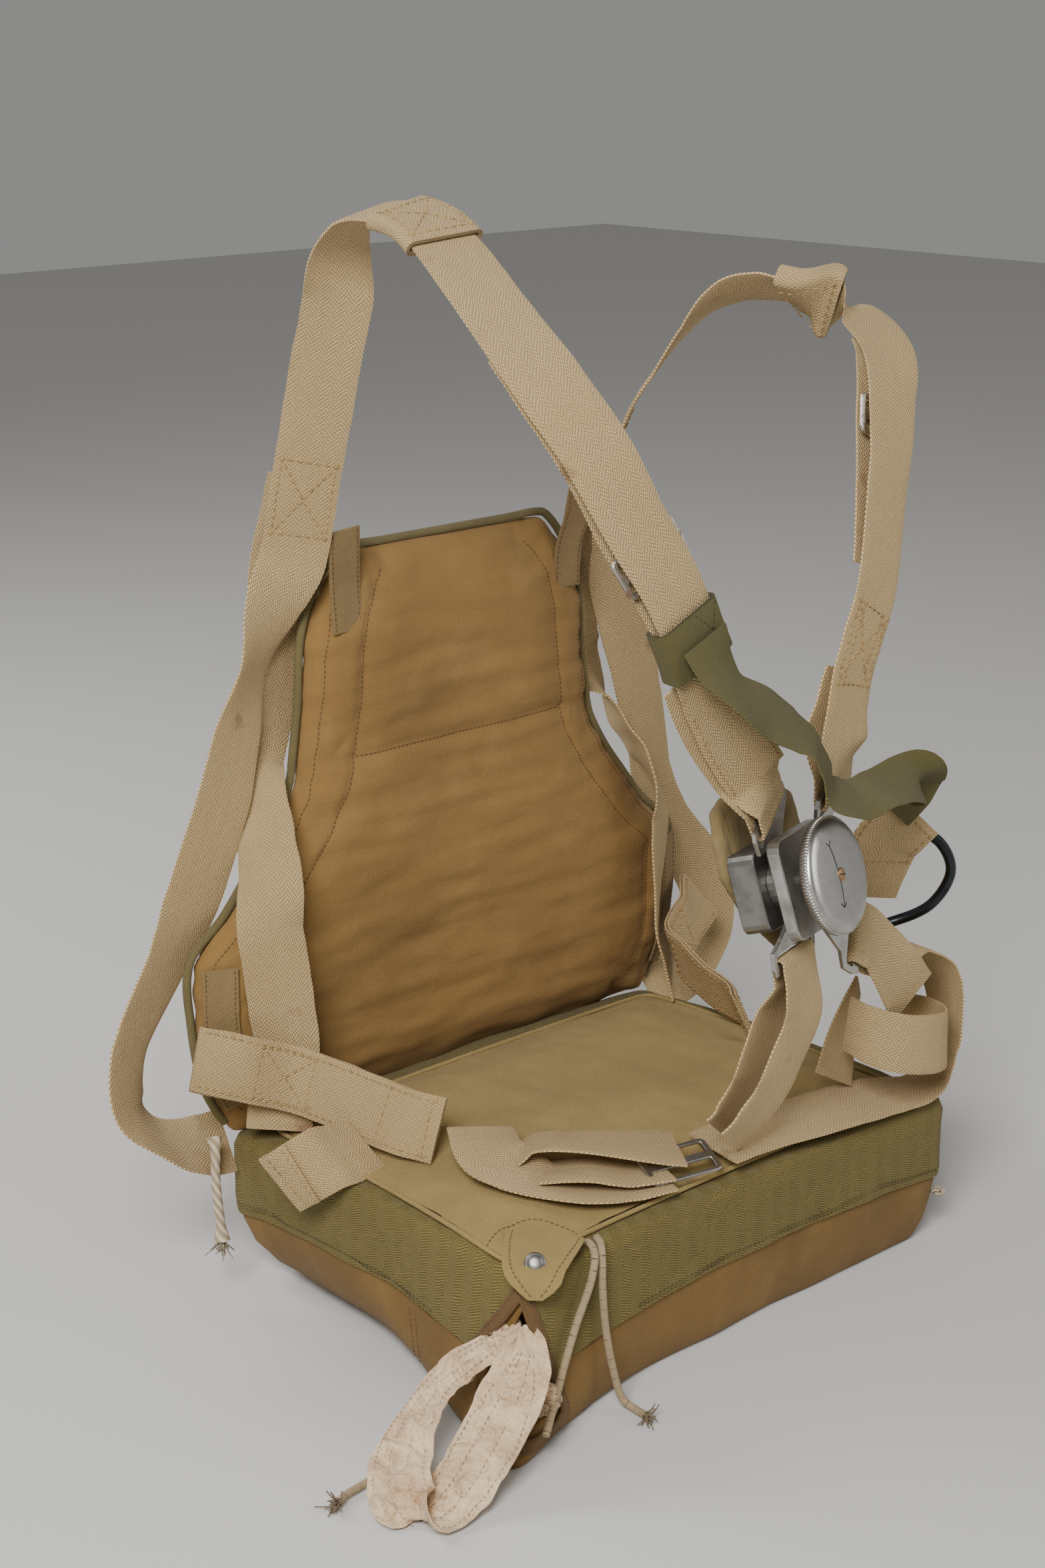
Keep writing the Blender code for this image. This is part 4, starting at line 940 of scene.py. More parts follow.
cross_stitches("thread_cream", free_end, (tail - 3, tail - 13), 19, SEWN_LIFT)
print("hip and back straps are in place")

# %% [markdown]
# The leg strap lies gathered on the cushion and ends in a lug at the lock; the strap on the
# left sweeps round from the slide, up behind the lock and folds round its lug. The loose loop,
# the frayed end and the olive pull strap hang beside it.

# %% Leg straps, front strap and loose ends
LEG_BUNDLE = (
    (-128, -22, 143, -46, -8),
    (-143, -50, 138, -41, 7),
    (-141, -74, 134, -15, 2),
    (-122, -104, 125.5, 47, -3),
    (-90, -120, 122.4, 44, -1),
    (-64, -128, 122.6, 46, -1),
)
LEG_MIDDLE = (
    (-128, -80, 129.5, 25, -6),
    (-106, -101, 133, 42, -4),
    (-83, -115, 128, 46, -3),
    (-60, -125, 127.5, 48, -2),
)
LEG_TONGUE = (
    (-124, -58, 136.5, 47, -6),
    (-117, -66, 143.5, 47, -9),
    (-104, -83, 146, 47, -8),
    (-80, -102, 143, 47, -2),
    (-62, -115, 139.5, 47, 2),
    (-45, -125, 136, 50, 4),
)
LEG_LUG_FRONT = (
    (27, -167, 222, 8, -8),
    (16, -164, 196, 8, -8),
    (6, -160, 173, 8, -8),
    (-12, -156, 155, 8, -8),
    (-24, -151, 143, 8, -8),
)
LEG_LUG_BACK = (
    (19, -150, 225, 8, -8),
    (8, -147, 196, 8, -8),
    (0, -144, 174, 8, -8),
    (-16, -141, 157, 8, -8),
    (-24, -137, 149, 8, -8),
)
FRONT_STRAP = (
    (-16, -129, 129, 90, 8),
    (20, -130, 129, 90, 10),
    (66, -136, 128, 90, 12),
    (110, -138, 125, 90, 13),
    (149, -138, 121, 88, 12),
    (178, -138, 117.2, 76, 4),
    (203, -136, 120, 68, -10),
    (220, -134, 134, 68, -18),
    (222, -134, 164, 69, -20),
    (214, -134, 190, 66, -28),
    (196, -134, 211, 62, -32),
    (172, -134, 229, 60, -14),
    (150, -139, 236, 54, 10),
    (125, -148.5, 242, 36, 36),
)
WIDE_PIECE = (
    (115, -163, 241, 20, 46),
    (133, -163, 220, 0, 50),
    (149, -160, 201, -12, 50),
)
FREE_LOOP = (
    (113, -134, 184, 90, 88),
    (113, -154, 181, 90, 88),
    (126, -170, 176, 90, 88),
    (152, -176, 170, 90, 88),
    (177, -170, 165, 90, 88),
    (191, -152, 163, 90, 88),
    (193, -134, 162, 90, 88),
    (187, -121, 161, 90, 88),
)
FRAYED_STRAP = (
    (150, -112, 196, 31, -22),
    (128, -118, 168, 14, -17),
    (112, -124, 139.2, 3, -18),
)
OLIVE_STRAP = (
    (-66, -158.8, 490, -5, 3),
    (-58, -162.2, 472, 8, 3),
    (-42, -169, 452, 28, 5),
    (-16, -170, 435, 19, 9),
    (5, -173, 422, 27, 10),
    (17, -177, 412, 35, 2),
    (26, -178, 397, 35, -3),
    (37, -178, 377, 27, -9),
    (58, -178, 368, 25, 5),
    (89, -175, 367, 37, 11),
    (118, -172, 366, 37, 17),
    (143, -164, 361, 20, 0),
    (157, -151, 352, -5, -18),
    (157.7, -144.5, 342.4, -17, -24),
    (148.2, -137.6, 330.3, -17, -24),
)
POCKET_STRAP = (
    (168, -141, 327, -17, -24),
    (151, -131, 306, -14, -24),
    (148, -123, 286, -12, -24),
    (146, -115, 264, -12, -24),
)

STRAPS = (
    # solid, stations, width
    ("leg_strap_bundle", LEG_BUNDLE, 45.0),
    ("leg_strap_middle", LEG_MIDDLE, 45.0),
    ("leg_strap_tongue", LEG_TONGUE, 45.0),
    ("leg_strap_lug", [*LEG_LUG_FRONT[::-1], *fold(*LUGS["lower_right"]), *LEG_LUG_BACK], 45.0),
    ("front_strap", [*FRONT_STRAP, *fold(*LUGS["lower_left"])[::-1], *WIDE_PIECE], 45.0),
    ("free_loop", FREE_LOOP, 42.0),
    ("frayed_strap", FRAYED_STRAP, 45.0),
)
for name, stations, width in STRAPS:
    frames = webbing_frames(stations, FINE)
    webbing(name, frames, width=width)
    print(name, round(distance(frames[0])[-1]), "mm long")

olive = webbing_frames(OLIVE_STRAP, FINE)
strap("olive_strap_webbing", olive, webbing_olive, "webbing_olive", "olive_strap", 38.0, 1.6)
pocket = webbing_frames(POCKET_STRAP, 16)
webbing("pocket_strap", pocket, width=58.0)
box_of_stitches("thread_cream", pocket, 5, 44, 25.0, 1.5, cross=False)
print("pull strap", round(distance(olive[0])[-1]), "mm long")

# %% [markdown]
# The pack is a box of canvas that is drawn in underneath and bulges where the canopy is packed.
# Its wall is one table: how far it is drawn in at each height, the corner's radius and how far
# the near corner is pushed out. The same rule shapes the brown body and the olive band over it,
# here with many more points, so that the cloth can crease.

# %% The pack's rule
PACK_HALF_X = 205.0
PACK_HALF_Y = 152.0
RIM_CORNER_Z = 104.0
RIM_CROWN = 7.0
TOP_Z = 110.5
BAND_THICK = 1.6
GAP = 0.6
WALL = (
    # height, drawn in, corner radius, pushed out
    (0.0, 42.0, 16.0, 66.0),
    (5.0, 29.0, 18.0, 62.0),
    (14.0, 16.0, 17.0, 50.0),
    (28.0, 7.0, 15.0, 34.0),
    (45.0, 2.0, 13.0, 20.0),
    (62.0, 0.0, 12.0, 11.0),
    (84.0, 0.0, 11.0, 5.0),
    (100.0, 1.0, 10.0, 1.0),
    (112.0, 1.0, 10.0, 0.0),
)
SIGNS = ((1, -1), (1, 1), (-1, 1), (-1, -1))
SIDE_STEPS = 44
CORNER_STEPS = 9
PUSH_REACH_X = 112.0
PUSH_REACH_Y = 72.0
PUSH_X = 0.81
PUSH_Y = 0.58
BODY_SLOT = ((-4.3, 87.0), (-33.0, 26.0), (15.0, 21.0))
BAND_SLOT = ((-5.7, 96.0), (-57.0, 17.0), (22.0, 13.0))
FRONT_DRAW = 0.25
RIM_TURN = ((2.5, -1.5), (8.0, 0.0), (26.0, 0.0))


def wall_columns():
    """Fixed columns round the pack: a corner and an angle, or a side and a fraction along it."""
    columns = []
    for i in range(4):
        columns += [("corner", i, 90.0 * k / (CORNER_STEPS - 1)) for k in range(CORNER_STEPS)]
        columns += [("side", i, k / SIDE_STEPS) for k in range(1, SIDE_STEPS)]
    return columns


COLUMNS = wall_columns()


def corner_point(index, angle, height, grow, inset, drawn_share):
    """Point of one round corner of the wall at a height."""
    table = np.array(WALL)
    drawn, radius = (np.interp(height, table[:, 0], table[:, c]) for c in (1, 2))
    sx, sy = SIGNS[index]
    half_x = PACK_HALF_X + grow - inset - drawn * drawn_share
    half_y = PACK_HALF_Y + grow - inset - drawn * drawn_share
    r = max(3.0, radius + grow - inset * 0.4)
    a = math.radians(-90 + 90 * index + angle)
    return np.array([sx * (half_x - r) + r * math.cos(a), sy * (half_y - r) + r * math.sin(a)])


def drawn_share(y):
    """The underside is drawn in least at the front and most at the rear."""
    rear = min(1.0, max(0.0, (y + PACK_HALF_Y) / (2 * PACK_HALF_Y)))
    return FRONT_DRAW + (1 - FRONT_DRAW) * min(1.0, rear * 1.9) ** 0.8


def wall_ring(height, grow=0.0, inset=0.0):
    """Points round the pack at a height, one number or one for each column."""
    heights = np.broadcast_to(np.asarray(height, float), (len(COLUMNS),))
    ring = []
    for (kind, i, t), z in zip(COLUMNS, heights):
        if kind == "corner":
            point = corner_point(i, t, z, grow, inset, drawn_share(SIGNS[i][1] * PACK_HALF_Y))
        else:
            j = (i + 1) % 4
            guess = PACK_HALF_Y * ((1 - t) * SIGNS[i][1] + t * SIGNS[j][1])
            share = drawn_share(guess)
            point = (corner_point(i, 90, z, grow, inset, share) * (1 - t)
                     + corner_point(j, 0, z, grow, inset, share) * t)
        push = np.interp(z, [row[0] for row in WALL], [row[3] for row in WALL])
        away = math.hypot(point[0] + PACK_HALF_X, point[1] + PACK_HALF_Y)
        out_x = push * PUSH_X * math.exp(-(away / PUSH_REACH_X) ** 2)
        out_y = push * PUSH_Y * math.exp(-(away / PUSH_REACH_Y) ** 2)
        ring.append((point[0] - out_x, point[1] - out_y, float(z)))
    return ring


def column_shares():
    """For each column: 0 at a corner to 1 in the middle of a side, and 1 at the pushed-out corner."""
    middle = np.array([0.0 if kind == "corner" else 1 - (2 * t - 1) ** 2 for kind, _, t in COLUMNS])
    near = np.array([math.exp(-(math.hypot(x + PACK_HALF_X, y + PACK_HALF_Y) / 110.0) ** 2)
                     for x, y, _ in wall_ring(62.0)])
    return middle, near


def top_height(x, y):
    """Height of the pack's top under the cushion, from its rim to its flat middle."""
    side = min(PACK_HALF_X - abs(x), PACK_HALF_Y - abs(y))
    along = y / PACK_HALF_Y if PACK_HALF_X - abs(x) < PACK_HALF_Y - abs(y) else x / PACK_HALF_X
    rim = RIM_CORNER_Z + RIM_CROWN * (1 - along * along)
    t = min(1.0, max(0.0, side / 45.0))
    return rim + (TOP_Z - rim) * t


def band_low():
    """Height of the band's lower edge at each column."""
    middle, near = column_shares()
    return 50.0 + 8.0 * middle - 4.0 * near


def top_ring(grow, inset, lift):
    return [(x, y, top_height(x, y) + lift) for x, y, _ in wall_ring(110.0, grow, inset)]


def rumple(piece, layers, keep_above=0.0002):
    """Push every point along its normal by soft noise; a layer is its sizes in mm and its amount."""
    for point in piece.data.vertices:
        p = point.co / MM
        push = sum(amount * noise.noise(Vector((p.x / sx, p.y / sy, p.z / sz)))
                   for (sx, sy, sz), amount in layers)
        point.co += point.normal * push * MM
        point.co.z = max(point.co.z, keep_above)


def applied(piece):
    """Make the piece's modifiers part of its mesh."""
    ready = bpy.context.evaluated_depsgraph_get()
    mesh = bpy.data.meshes.new_from_object(piece.evaluated_get(ready), preserve_all_data_layers=True,
                                           depsgraph=ready)
    piece.modifiers.clear()
    piece.data = mesh


print("columns round the pack:", len(COLUMNS))

# %% [markdown]
# The body and the band are both skins through rings of this rule, creased by the same noise so
# that the band never sinks into the body. A wedge then opens the near corner of each.

# %% Body and band
DIAGONAL = np.array([-1.0, -1.0, 0.0]) / math.sqrt(2)
SIDEWAYS = np.array([1.0, -1.0, 0.0]) / math.sqrt(2)
NEAR_CORNER = np.array([-PACK_HALF_X, -PACK_HALF_Y, 0.0])
CREASES = (((70.0, 70.0, 55.0), 2.2), ((26.0, 26.0, 16.0), 0.8))
WEDGE_OUT = 70.0
BODY_DEPTH = 47.0
BAND_DEPTH = 83.0
BODY_TOP_INSETS = ((50.0, 0.0), (90.0, 0.0))
BAND_TOP_INSET = ((44.0, 0.0),)


def wedge(outline, depth):
    verts = [NEAR_CORNER + DIAGONAL * reach + SIDEWAYS * u + np.array([0, 0, z])
             for reach in (-depth, WEDGE_OUT) for u, z in outline]
    faces = [(0, 1, 2), (5, 4, 3), (0, 3, 4, 1), (1, 4, 5, 2), (2, 5, 3, 0)]
    return shape("wedge", verts, faces, canvas_brown)


def open_corner(piece, outline, depth):
    cutter = wedge(outline, depth)
    hole = piece.modifiers.new("opening", "BOOLEAN")
    hole.operation = "DIFFERENCE"
    hole.object = cutter
    applied(piece)
    bpy.data.objects.remove(cutter)


def ring_skin(name, rings, finish, closed=False):
    """Skin through rings, with distances round and up as its flat coordinates."""
    rings = np.array(rings)
    around = distance(np.vstack([rings[3], rings[3][:1]]))
    up = [*distance(rings[:, len(COLUMNS) // 8]), *([0.0] if closed else [])]
    flat = np.array([[(u, v) for u in around] for v in up])
    return skin(name, [(rings, flat)], finish, closed)


def band_face(grow):
    """Rings up one face of the band and in over the rim."""
    face = [wall_ring(low + (rims - 5.0 - low) * t, grow) for t in (0.0, 0.1, 0.25, 0.4, 0.6, 0.8, 1.0)]
    return face + [top_ring(grow, inset, grow + lift) for inset, lift in RIM_TURN + BAND_TOP_INSET]


middle_share, _ = column_shares()
rims = RIM_CORNER_Z + RIM_CROWN * middle_share
low = band_low()
rows = [wall_ring(z) for z in (0.0, 2.5, 5.0, 9.0, 14.0, 21.0, 28.0)]
rows += [wall_ring(28.0 + (low - 28.0) * t) for t in (0.35, 0.7, 1.0)]
rows += [wall_ring(low + (rims - 5.0 - low) * t) for t in (0.2, 0.4, 0.6, 0.8, 1.0)]
rows += [top_ring(0.0, inset, lift) for inset, lift in RIM_TURN + BODY_TOP_INSETS]
body = ring_skin("pack_body_canvas", rows, canvas_brown)
rumple(body, CREASES)
body_tree = tree_of(body)
open_corner(body, BODY_SLOT, BODY_DEPTH)
settle(body, "canvas_brown", "pack_body")

band = ring_skin("pack_band_tape", band_face(GAP + BAND_THICK) + band_face(GAP)[::-1], band_tape, closed=True)
rumple(band, CREASES)
band_tree = tree_of(band)
open_corner(band, BAND_SLOT, BAND_DEPTH)
settle(band, "band_olive", "pack_band")
print("pack points:", len(body.data.vertices), len(band.data.vertices))

# %% [markdown]
# A narrow folded strip of brown canvas is sewn over the raw edges of the opening, and two rows
# of stitches hold the band. Their lines are drawn by looking straight at the cloth: a ray goes
# in towards the pack and the point that it meets is kept.

# %% Lips of the opening and the band's seams


def on_corner(u, z, tree, off):
    """Point of the cloth at a place across and up the near corner, and its outward direction."""
    start = NEAR_CORNER + DIAGONAL * 90.0 + SIDEWAYS * u + np.array([0, 0, z])
    place, normal, _, _ = tree.ray_cast(Vector(start), Vector(-DIAGONAL))
    return np.array(place + normal * off), np.array(normal)


def strip_frames(points, normals):
    """Frames of a strip that lies on a surface."""
    middle = np.array(points)
    face = np.array(normals)
    run = np.gradient(middle, axis=0)
    return middle, unit(np.cross(face, run)), face


LIPS = (
    # name, places across and up the corner
    ("corner_lip_left", ((-57.0, 19.0), (-46.0, 35.0), (-31.5, 57.0), (-18.0, 78.0), (-6.5, 97.5))),
    ("corner_lip_right", ((-3.5, 98.5), (4.0, 75.0), (12.0, 48.0), (19.0, 26.0), (20.0, 17.0), (12.0, 12.5),
                          (-8.0, 13.0))),
)
BAND_FROM = 56.0
for name, places in LIPS:
    line = curve_through([(u, z, 0.0) for u, z in places], 12)
    hits = [on_corner(u, z, band_tree if z > BAND_FROM else body_tree, 1.5) for u, z, _ in line]
    points = np.array([place for place, _ in hits])
    for _ in range(2):
        points[1:-1] = (points[:-2] + 2 * points[1:-1] + points[2:]) / 4
    frames = strip_frames(points, [normal for _, normal in hits])
    settle(skin(name, [strap_layer(frames, 9.0, 2.6)], lip_brown), "canvas_brown")
    spots = np.linspace(1, distance(points)[-1] - 1, 50)
    for u in (-2.9, 2.9):
        sew("thread_brown", on_strap(frames, spots, np.full(50, u), 1.35))

OPENING_HALF = 62.0
OPENING_REACH = 200.0


def by_opening(p):
    """Whether a point of the band is beside the corner's opening."""
    return abs((p - NEAR_CORNER) @ SIDEWAYS) < OPENING_HALF and p @ DIAGONAL > OPENING_REACH


def band_line(share, rise):
    """Line round the pack on the band, at a share of its height; it stops short of the opening."""
    line = []
    for column in range(0, len(COLUMNS), 3):
        z = low[column] + (rims[column] - low[column]) * share + rise
        place, normal, _, _ = band_tree.find_nearest(Vector(wall_ring(z, 30.0)[column]))
        line.append(np.array(place + normal * 0.1))
    start = next(k for k, p in enumerate(line) if by_opening(p))
    return np.array([p for p in line[start:] + line[:start] if not by_opening(p)])


for share in (0.05, 0.10):
    sew("thread_olive", band_line(share, 1.0))
SIDE_ROWS = (-72.0, -76.0)
for row in SIDE_ROWS:
    sew("thread_brown", [on_corner(row - 0.1 * z, z, body_tree, 0.15)[0] for z in np.linspace(14.0, 46.0, 18)])
print("lips and seams of the opening are made")

# %% [markdown]
# The cushion is a thin bag of wadding that droops over the near corner. It starts as a copy of
# its solid, gets an even net of small faces, and is blown up as cloth under light pressure
# with its underside held, so it swells on top and pulls in along its edges. The back pad is
# made the same way, and the small pad behind the lock too.

# %% Padded pieces
SWELL_STEPS = 16
PRESSURE = 3.0


def padded_copy(name, node, finish, voxel, swell, held):
    """Cloth copy of a padded solid; held says which points stay, swell is the most any point moves."""
    mesh = nodes[node].data.copy()
    mesh.materials.clear()
    mesh.materials.append(finish)
    piece = bpy.data.objects.new(name, mesh)
    scene.collection.objects.link(piece)
    weld = piece.modifiers.new("weld", "WELD")
    weld.merge_threshold = 0.00002
    net = piece.modifiers.new("net", "REMESH")
    net.mode = "VOXEL"
    net.voxel_size = voxel * MM
    even = piece.modifiers.new("even", "SMOOTH")
    even.iterations = 6
    even.factor = 0.5
    applied(piece)
    mesh = piece.data
    before = np.array([v.co for v in mesh.vertices])
    pins = piece.vertex_groups.new(name="held")
    pins.add([v.index for v in mesh.vertices if held(v)], 1.0, "REPLACE")
    cloth = piece.modifiers.new("cloth", "CLOTH")
    cloth.settings.use_pressure = True
    cloth.settings.uniform_pressure_force = PRESSURE
    cloth.settings.effector_weights.gravity = 0.0
    cloth.settings.vertex_group_mass = "held"
    cloth.settings.tension_stiffness = 12.0
    cloth.point_cache.frame_start = 1
    cloth.point_cache.frame_end = SWELL_STEPS
    for step in range(1, SWELL_STEPS + 1):
        scene.frame_set(step)
    ready = bpy.context.evaluated_depsgraph_get()
    after = np.array([v.co for v in piece.evaluated_get(ready).data.vertices])
    piece.modifiers.clear()
    scene.frame_set(1)
    move = after - before
    size = np.linalg.norm(move, axis=1, keepdims=True)
    move *= np.minimum(1.0, swell * MM / np.maximum(size, TINY))
    mesh.vertices.foreach_set("co", (before + move).ravel())
    mesh.update()
    mesh.shade_smooth()
    return piece


cushion = padded_copy("seat_cushion_cloth", "seat_cushion", canvas_khaki, 3.2, 3.0,
                      lambda v: v.normal.z < -0.3)
rumple(cushion, (((60.0, 60.0, 60.0), 1.6), ((17.0, 30.0, 20.0), 0.9)), 0.1)
settle(cushion, "canvas_olive", "seat_cushion")
pad = padded_copy("back_pad_cloth", "back_pad", lining_brown, 3.4, 4.0, lambda v: v.normal.y > 0.5)
rumple(pad, (((80.0, 80.0, 30.0), 3.0), ((48.0, 48.0, 11.0), 1.8)), 0.1)
PAD_FOOT = 130.0
FOOT_HEIGHT = 15.0
FOOT_DROP = 7.0
for point in pad.data.vertices:
    point.co.z -= FOOT_DROP * MM * min(1.0, max(0.0, (PAD_FOOT - point.co.z / MM) / FOOT_HEIGHT))
settle(pad, "pad_brown", "back_pad")
lock_pad = padded_copy("lock_pad_cloth", "lock_pad", pad_cloth, 1.6, 1.0, lambda v: v.normal.y < -0.4)
rumple(lock_pad, (((18.0, 18.0, 18.0), 0.9), ((7.0, 7.0, 7.0), 0.4)), 0.1)
settle(lock_pad, "webbing_olive", "lock_pad")
print("padded points:", [len(p.data.vertices) for p in (cushion, pad, lock_pad)])

# %% [markdown]
# Piping is cord in a folded strip. A tube with its own flat coordinates round and along it also
# makes the cords, the pull handle and the frayed strands.

# %% Tubes and piping


def tube_layer(points, radius, sides=12, closed=False):
    """Rings round a line of points, turned as little as possible from one to the next."""
    points = np.asarray(points, float)
    count = len(points)
    if closed:
        run = np.roll(points, -1, axis=0) - np.roll(points, 1, axis=0)
    else:
        run = np.gradient(points, axis=0)
    run = unit(run)
    side = np.cross(run[0], (0.0, 0.0, 1.0) if abs(run[0][2]) < 0.9 else (1.0, 0.0, 0.0))
    radii = spread(radius, count)[:, 0]
    along = distance(points)
    rings, flat = [], []
    for i in range(count):
        side = side - run[i] * (side @ run[i])
        side /= np.linalg.norm(side)
        other = np.cross(run[i], side)
        turn = np.linspace(0, 2 * math.pi, sides + 1)
        ring = np.outer(np.cos(turn[:-1]), side) + np.outer(np.sin(turn[:-1]), other)
        rings.append(points[i] + radii[i] * ring)
        flat.append([(t / (2 * math.pi), along[i]) for t in turn])
    if closed:
        flat.append(flat[0])
    return np.array(rings), np.array(flat)


def tube(name, points, radius, finish, slot, *replaced, sides=12, closed=False):
    piece = skin(name, [tube_layer(points, radius, sides, closed)], finish, closed=closed)
    return settle(piece, slot, *replaced)


CUSHION_CORNERS = ((186.0, -142.0), (186.0, 126.0), (-188.0, 126.0), (-205.0, -138.0))
CUSHION_CENTRE = np.array([-5.0, 0.0])
CUSHION_ROUND = 14.0


def cushion_outline(inset):
    """Outline of the seat cushion, its front right corner reaching the pack's corner."""
    corners = np.array(CUSHION_CORNERS)
    out = []
    for k, here in enumerate(corners):
        before, after = corners[k - 1], corners[(k + 1) % 4]
        for t in (0.0, 0.5, 1.0):
            start = here + (before - here) / np.linalg.norm(before - here) * CUSHION_ROUND
            end = here + (after - here) / np.linalg.norm(after - here) * CUSHION_ROUND
            out.append((1 - t) ** 2 * start + 2 * t * (1 - t) * here + t * t * end)
        for t in (0.25, 0.5, 0.75):
            out.append(here * (1 - t) + after * t)
    return [p - (p - CUSHION_CENTRE) / np.abs(p - CUSHION_CENTRE).max() * inset for p in out]


CUSHION_UNDER = BAND_THICK + 2 * GAP
outline = [(x, y, top_height(x, y) + CUSHION_UNDER + 2.2) for x, y in cushion_outline(0.6)]
tube("cushion_piping", curve_through(outline, 8, True), 1.7, canvas_khaki, "canvas_olive", sides=8, closed=True)

PAD_BACK_Y = 157.0
PAD_RIM = 8.0
PIPING_RADIUS = 3.0
PAD_EDGE = (
    # height, half width
    (112.8, 201.5),
    (117.2, 204.5),
    (128.0, 212.0),
    (150.0, 222.0),
    (190.0, 229.0),
    (236.0, 229.0),
    (262.0, 200.0),
    (292.0, 175.0),
    (315.0, 157.0),
    (340.0, 142.0),
    (353.0, 138.0),
    (360.0, 137.0),
    (367.0, 136.0),
    (400.0, 131.0),
    (440.0, 128.0),
    (462.0, 122.0),
    (480.0, 112.0),
    (494.0, 101.0),
    (500.0, 93.0),
)
half = [(w, z) for z, w in PAD_EDGE if z > PAD_EDGE[0][0]]
edge = np.array(half + [(60.0, PAD_EDGE[-1][0]), (0.0, PAD_EDGE[-1][0])])
run = unit(np.gradient(edge, axis=0))
edge = edge + np.stack([run[:, 1], -run[:, 0]], axis=1) * (PIPING_RADIUS + 0.8)
path = [(x, PAD_BACK_Y - PAD_RIM / 2, z) for x, z in edge]
path += [(-x, y, z) for x, y, z in reversed(path[:-1])]
tube("back_piping_cord", curve_through(path, 8), PIPING_RADIUS, piping_olive, "piping_olive", "back_piping")
print("piping round the cushion and the back pad")

# %% [markdown]
# The lining of the back pad is sewn through in two rows down each side and one row across, and
# tan bindings close its lower sides.

# %% Sewing and bindings of the back pad
PAD_SEAM_IN = 38.0
PAD_SEAM_Z = 360.0
pad_tree = tree_of(pad)


def on_pad(x, z):
    """Point of the pad's front at a place across and up, just proud of the cloth."""
    place, _, _, _ = pad_tree.ray_cast(Vector((x, 60.0, z)), Vector((0.0, 1.0, 0.0)))
    return np.array(place) + np.array([0.0, -0.25, 0.0])


heights = np.linspace(126.0, 486.0, 150)
widths = np.interp(heights, [row[0] for row in PAD_EDGE], [row[1] for row in PAD_EDGE])
for sign in (-1, 1):
    for inset in (PAD_SEAM_IN, 9.0):
        sew("thread_brown", [on_pad(sign * (w - inset), z) for w, z in zip(widths, heights)])
sew("thread_brown", [on_pad(x, PAD_SEAM_Z) for x in np.linspace(-96.0, 96.0, 100)])

SIDE_BINDING = [(-(w - 11.0), PAD_BACK_Y - 18.7, z, -25, 0)
                for z, w in ((132, 214), (150, 222), (190, 229), (234, 229))]
PAD_TAB = [(-103, 135.7, 450, 0, 0), (-105, 135.7, 478, 0, 0), (-109, 131, 502, 0, 0), (-111, 128, 522, 0, 0)]
TAPES = (
    # solid, stations, steps, width, thickness, where its stitches are across and off its middle
    ("side_binding_", SIDE_BINDING, 12, 25.0, 1.6, 10.0, 0.95),
    ("pad_tab_", PAD_TAB, 10, 26.0, 1.8, 10.5, 1.05),
)
for side, on_side in (("right", list), ("left", mirrored)):
    for solid, stations, steps, width, thick, out, lift in TAPES:
        frames = webbing_frames(on_side(stations), steps)
        strap(solid + side + "_cloth", frames, binding_tan, "binding_tan", solid + side, width, thick)
        edge_stitches("thread_brown", frames, 3, distance(frames[0])[-1] - 3, out, lift)
print("pad seams and bindings are made")

# %% [markdown]
# A cloth tab comes down over the near corner and is held by a snap. Its end is cut round and
# its edge is turned in and sewn.

# %% Tab and snap
TAB = (
    (-170, -130, 118.8, -45, 0),
    (-184, -139, 117.4, -45, 0),
    (-198, -149, 113.8, -45, 0),
    (-206, -158, 107, -45, -4),
    (-210, -162, 99, -45, -4),
)
tab_frames = webbing_frames(TAB, 12)
tab_width = [50, 49, 47, 44, 41, 37, 31, 22, 9]
strap("cushion_tab_cloth", tab_frames, canvas_khaki, "canvas_olive", "cushion_tab", tab_width, 1.8)
tab_long = distance(tab_frames[0])[-1]
spots = np.linspace(3.0, tab_long - 3.0, 60)
tab_half = half_width(tab_width, spots / tab_long)
for side in (1, -1):
    for sign in (1, -1):
        sew("thread_brown", on_strap(tab_frames, spots, sign * (tab_half - 3.5), side * 1.05))

ARC_AT = np.array([-181.0, -137.0, 0.0])
ARC_RADIUS = 35.0
ARC_FLAT = 0.9
cushion_tree = tree_of(cushion)
arc = []
for angle in np.linspace(0.0, math.pi, 40):
    x, y, _ = ARC_AT + ARC_RADIUS * (SIDEWAYS * math.cos(angle) - DIAGONAL * ARC_FLAT * math.sin(angle))
    place, _, _, _ = cushion_tree.ray_cast(Vector((x, y, 200.0)), Vector((0.0, 0.0, -1.0)))
    if place is not None:
        arc.append(np.array(place) + np.array([0.0, 0.0, 0.2]))
sew("thread_brown", arc)


def turned(name, profile, place, out, finish, slot, *replaced, steps=48, body="pack"):
    """Solid of revolution from a closed outline of radius and height, standing at a place."""
    out = Vector(out).normalized()
    side = Vector((0, 0, 1)).cross(out).normalized()
    over = out.cross(side)
    angles = [2 * math.pi * k / steps for k in range(steps)]
    rings = np.array([[tuple(Vector(place) + (side * math.cos(a) + over * math.sin(a)) * r + out * h)
                       for a in angles] for r, h in profile])
    flat = np.zeros((len(rings), steps + 1, 2))
    settle(skin(name, [(rings, flat)], finish), slot, *replaced, body=body)


def middle_of(node):
    """Middle of a solid's box, in mm."""
    low_corner, high_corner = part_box(node)
    return (np.array(low_corner) + np.array(high_corner)) / 2 / MM


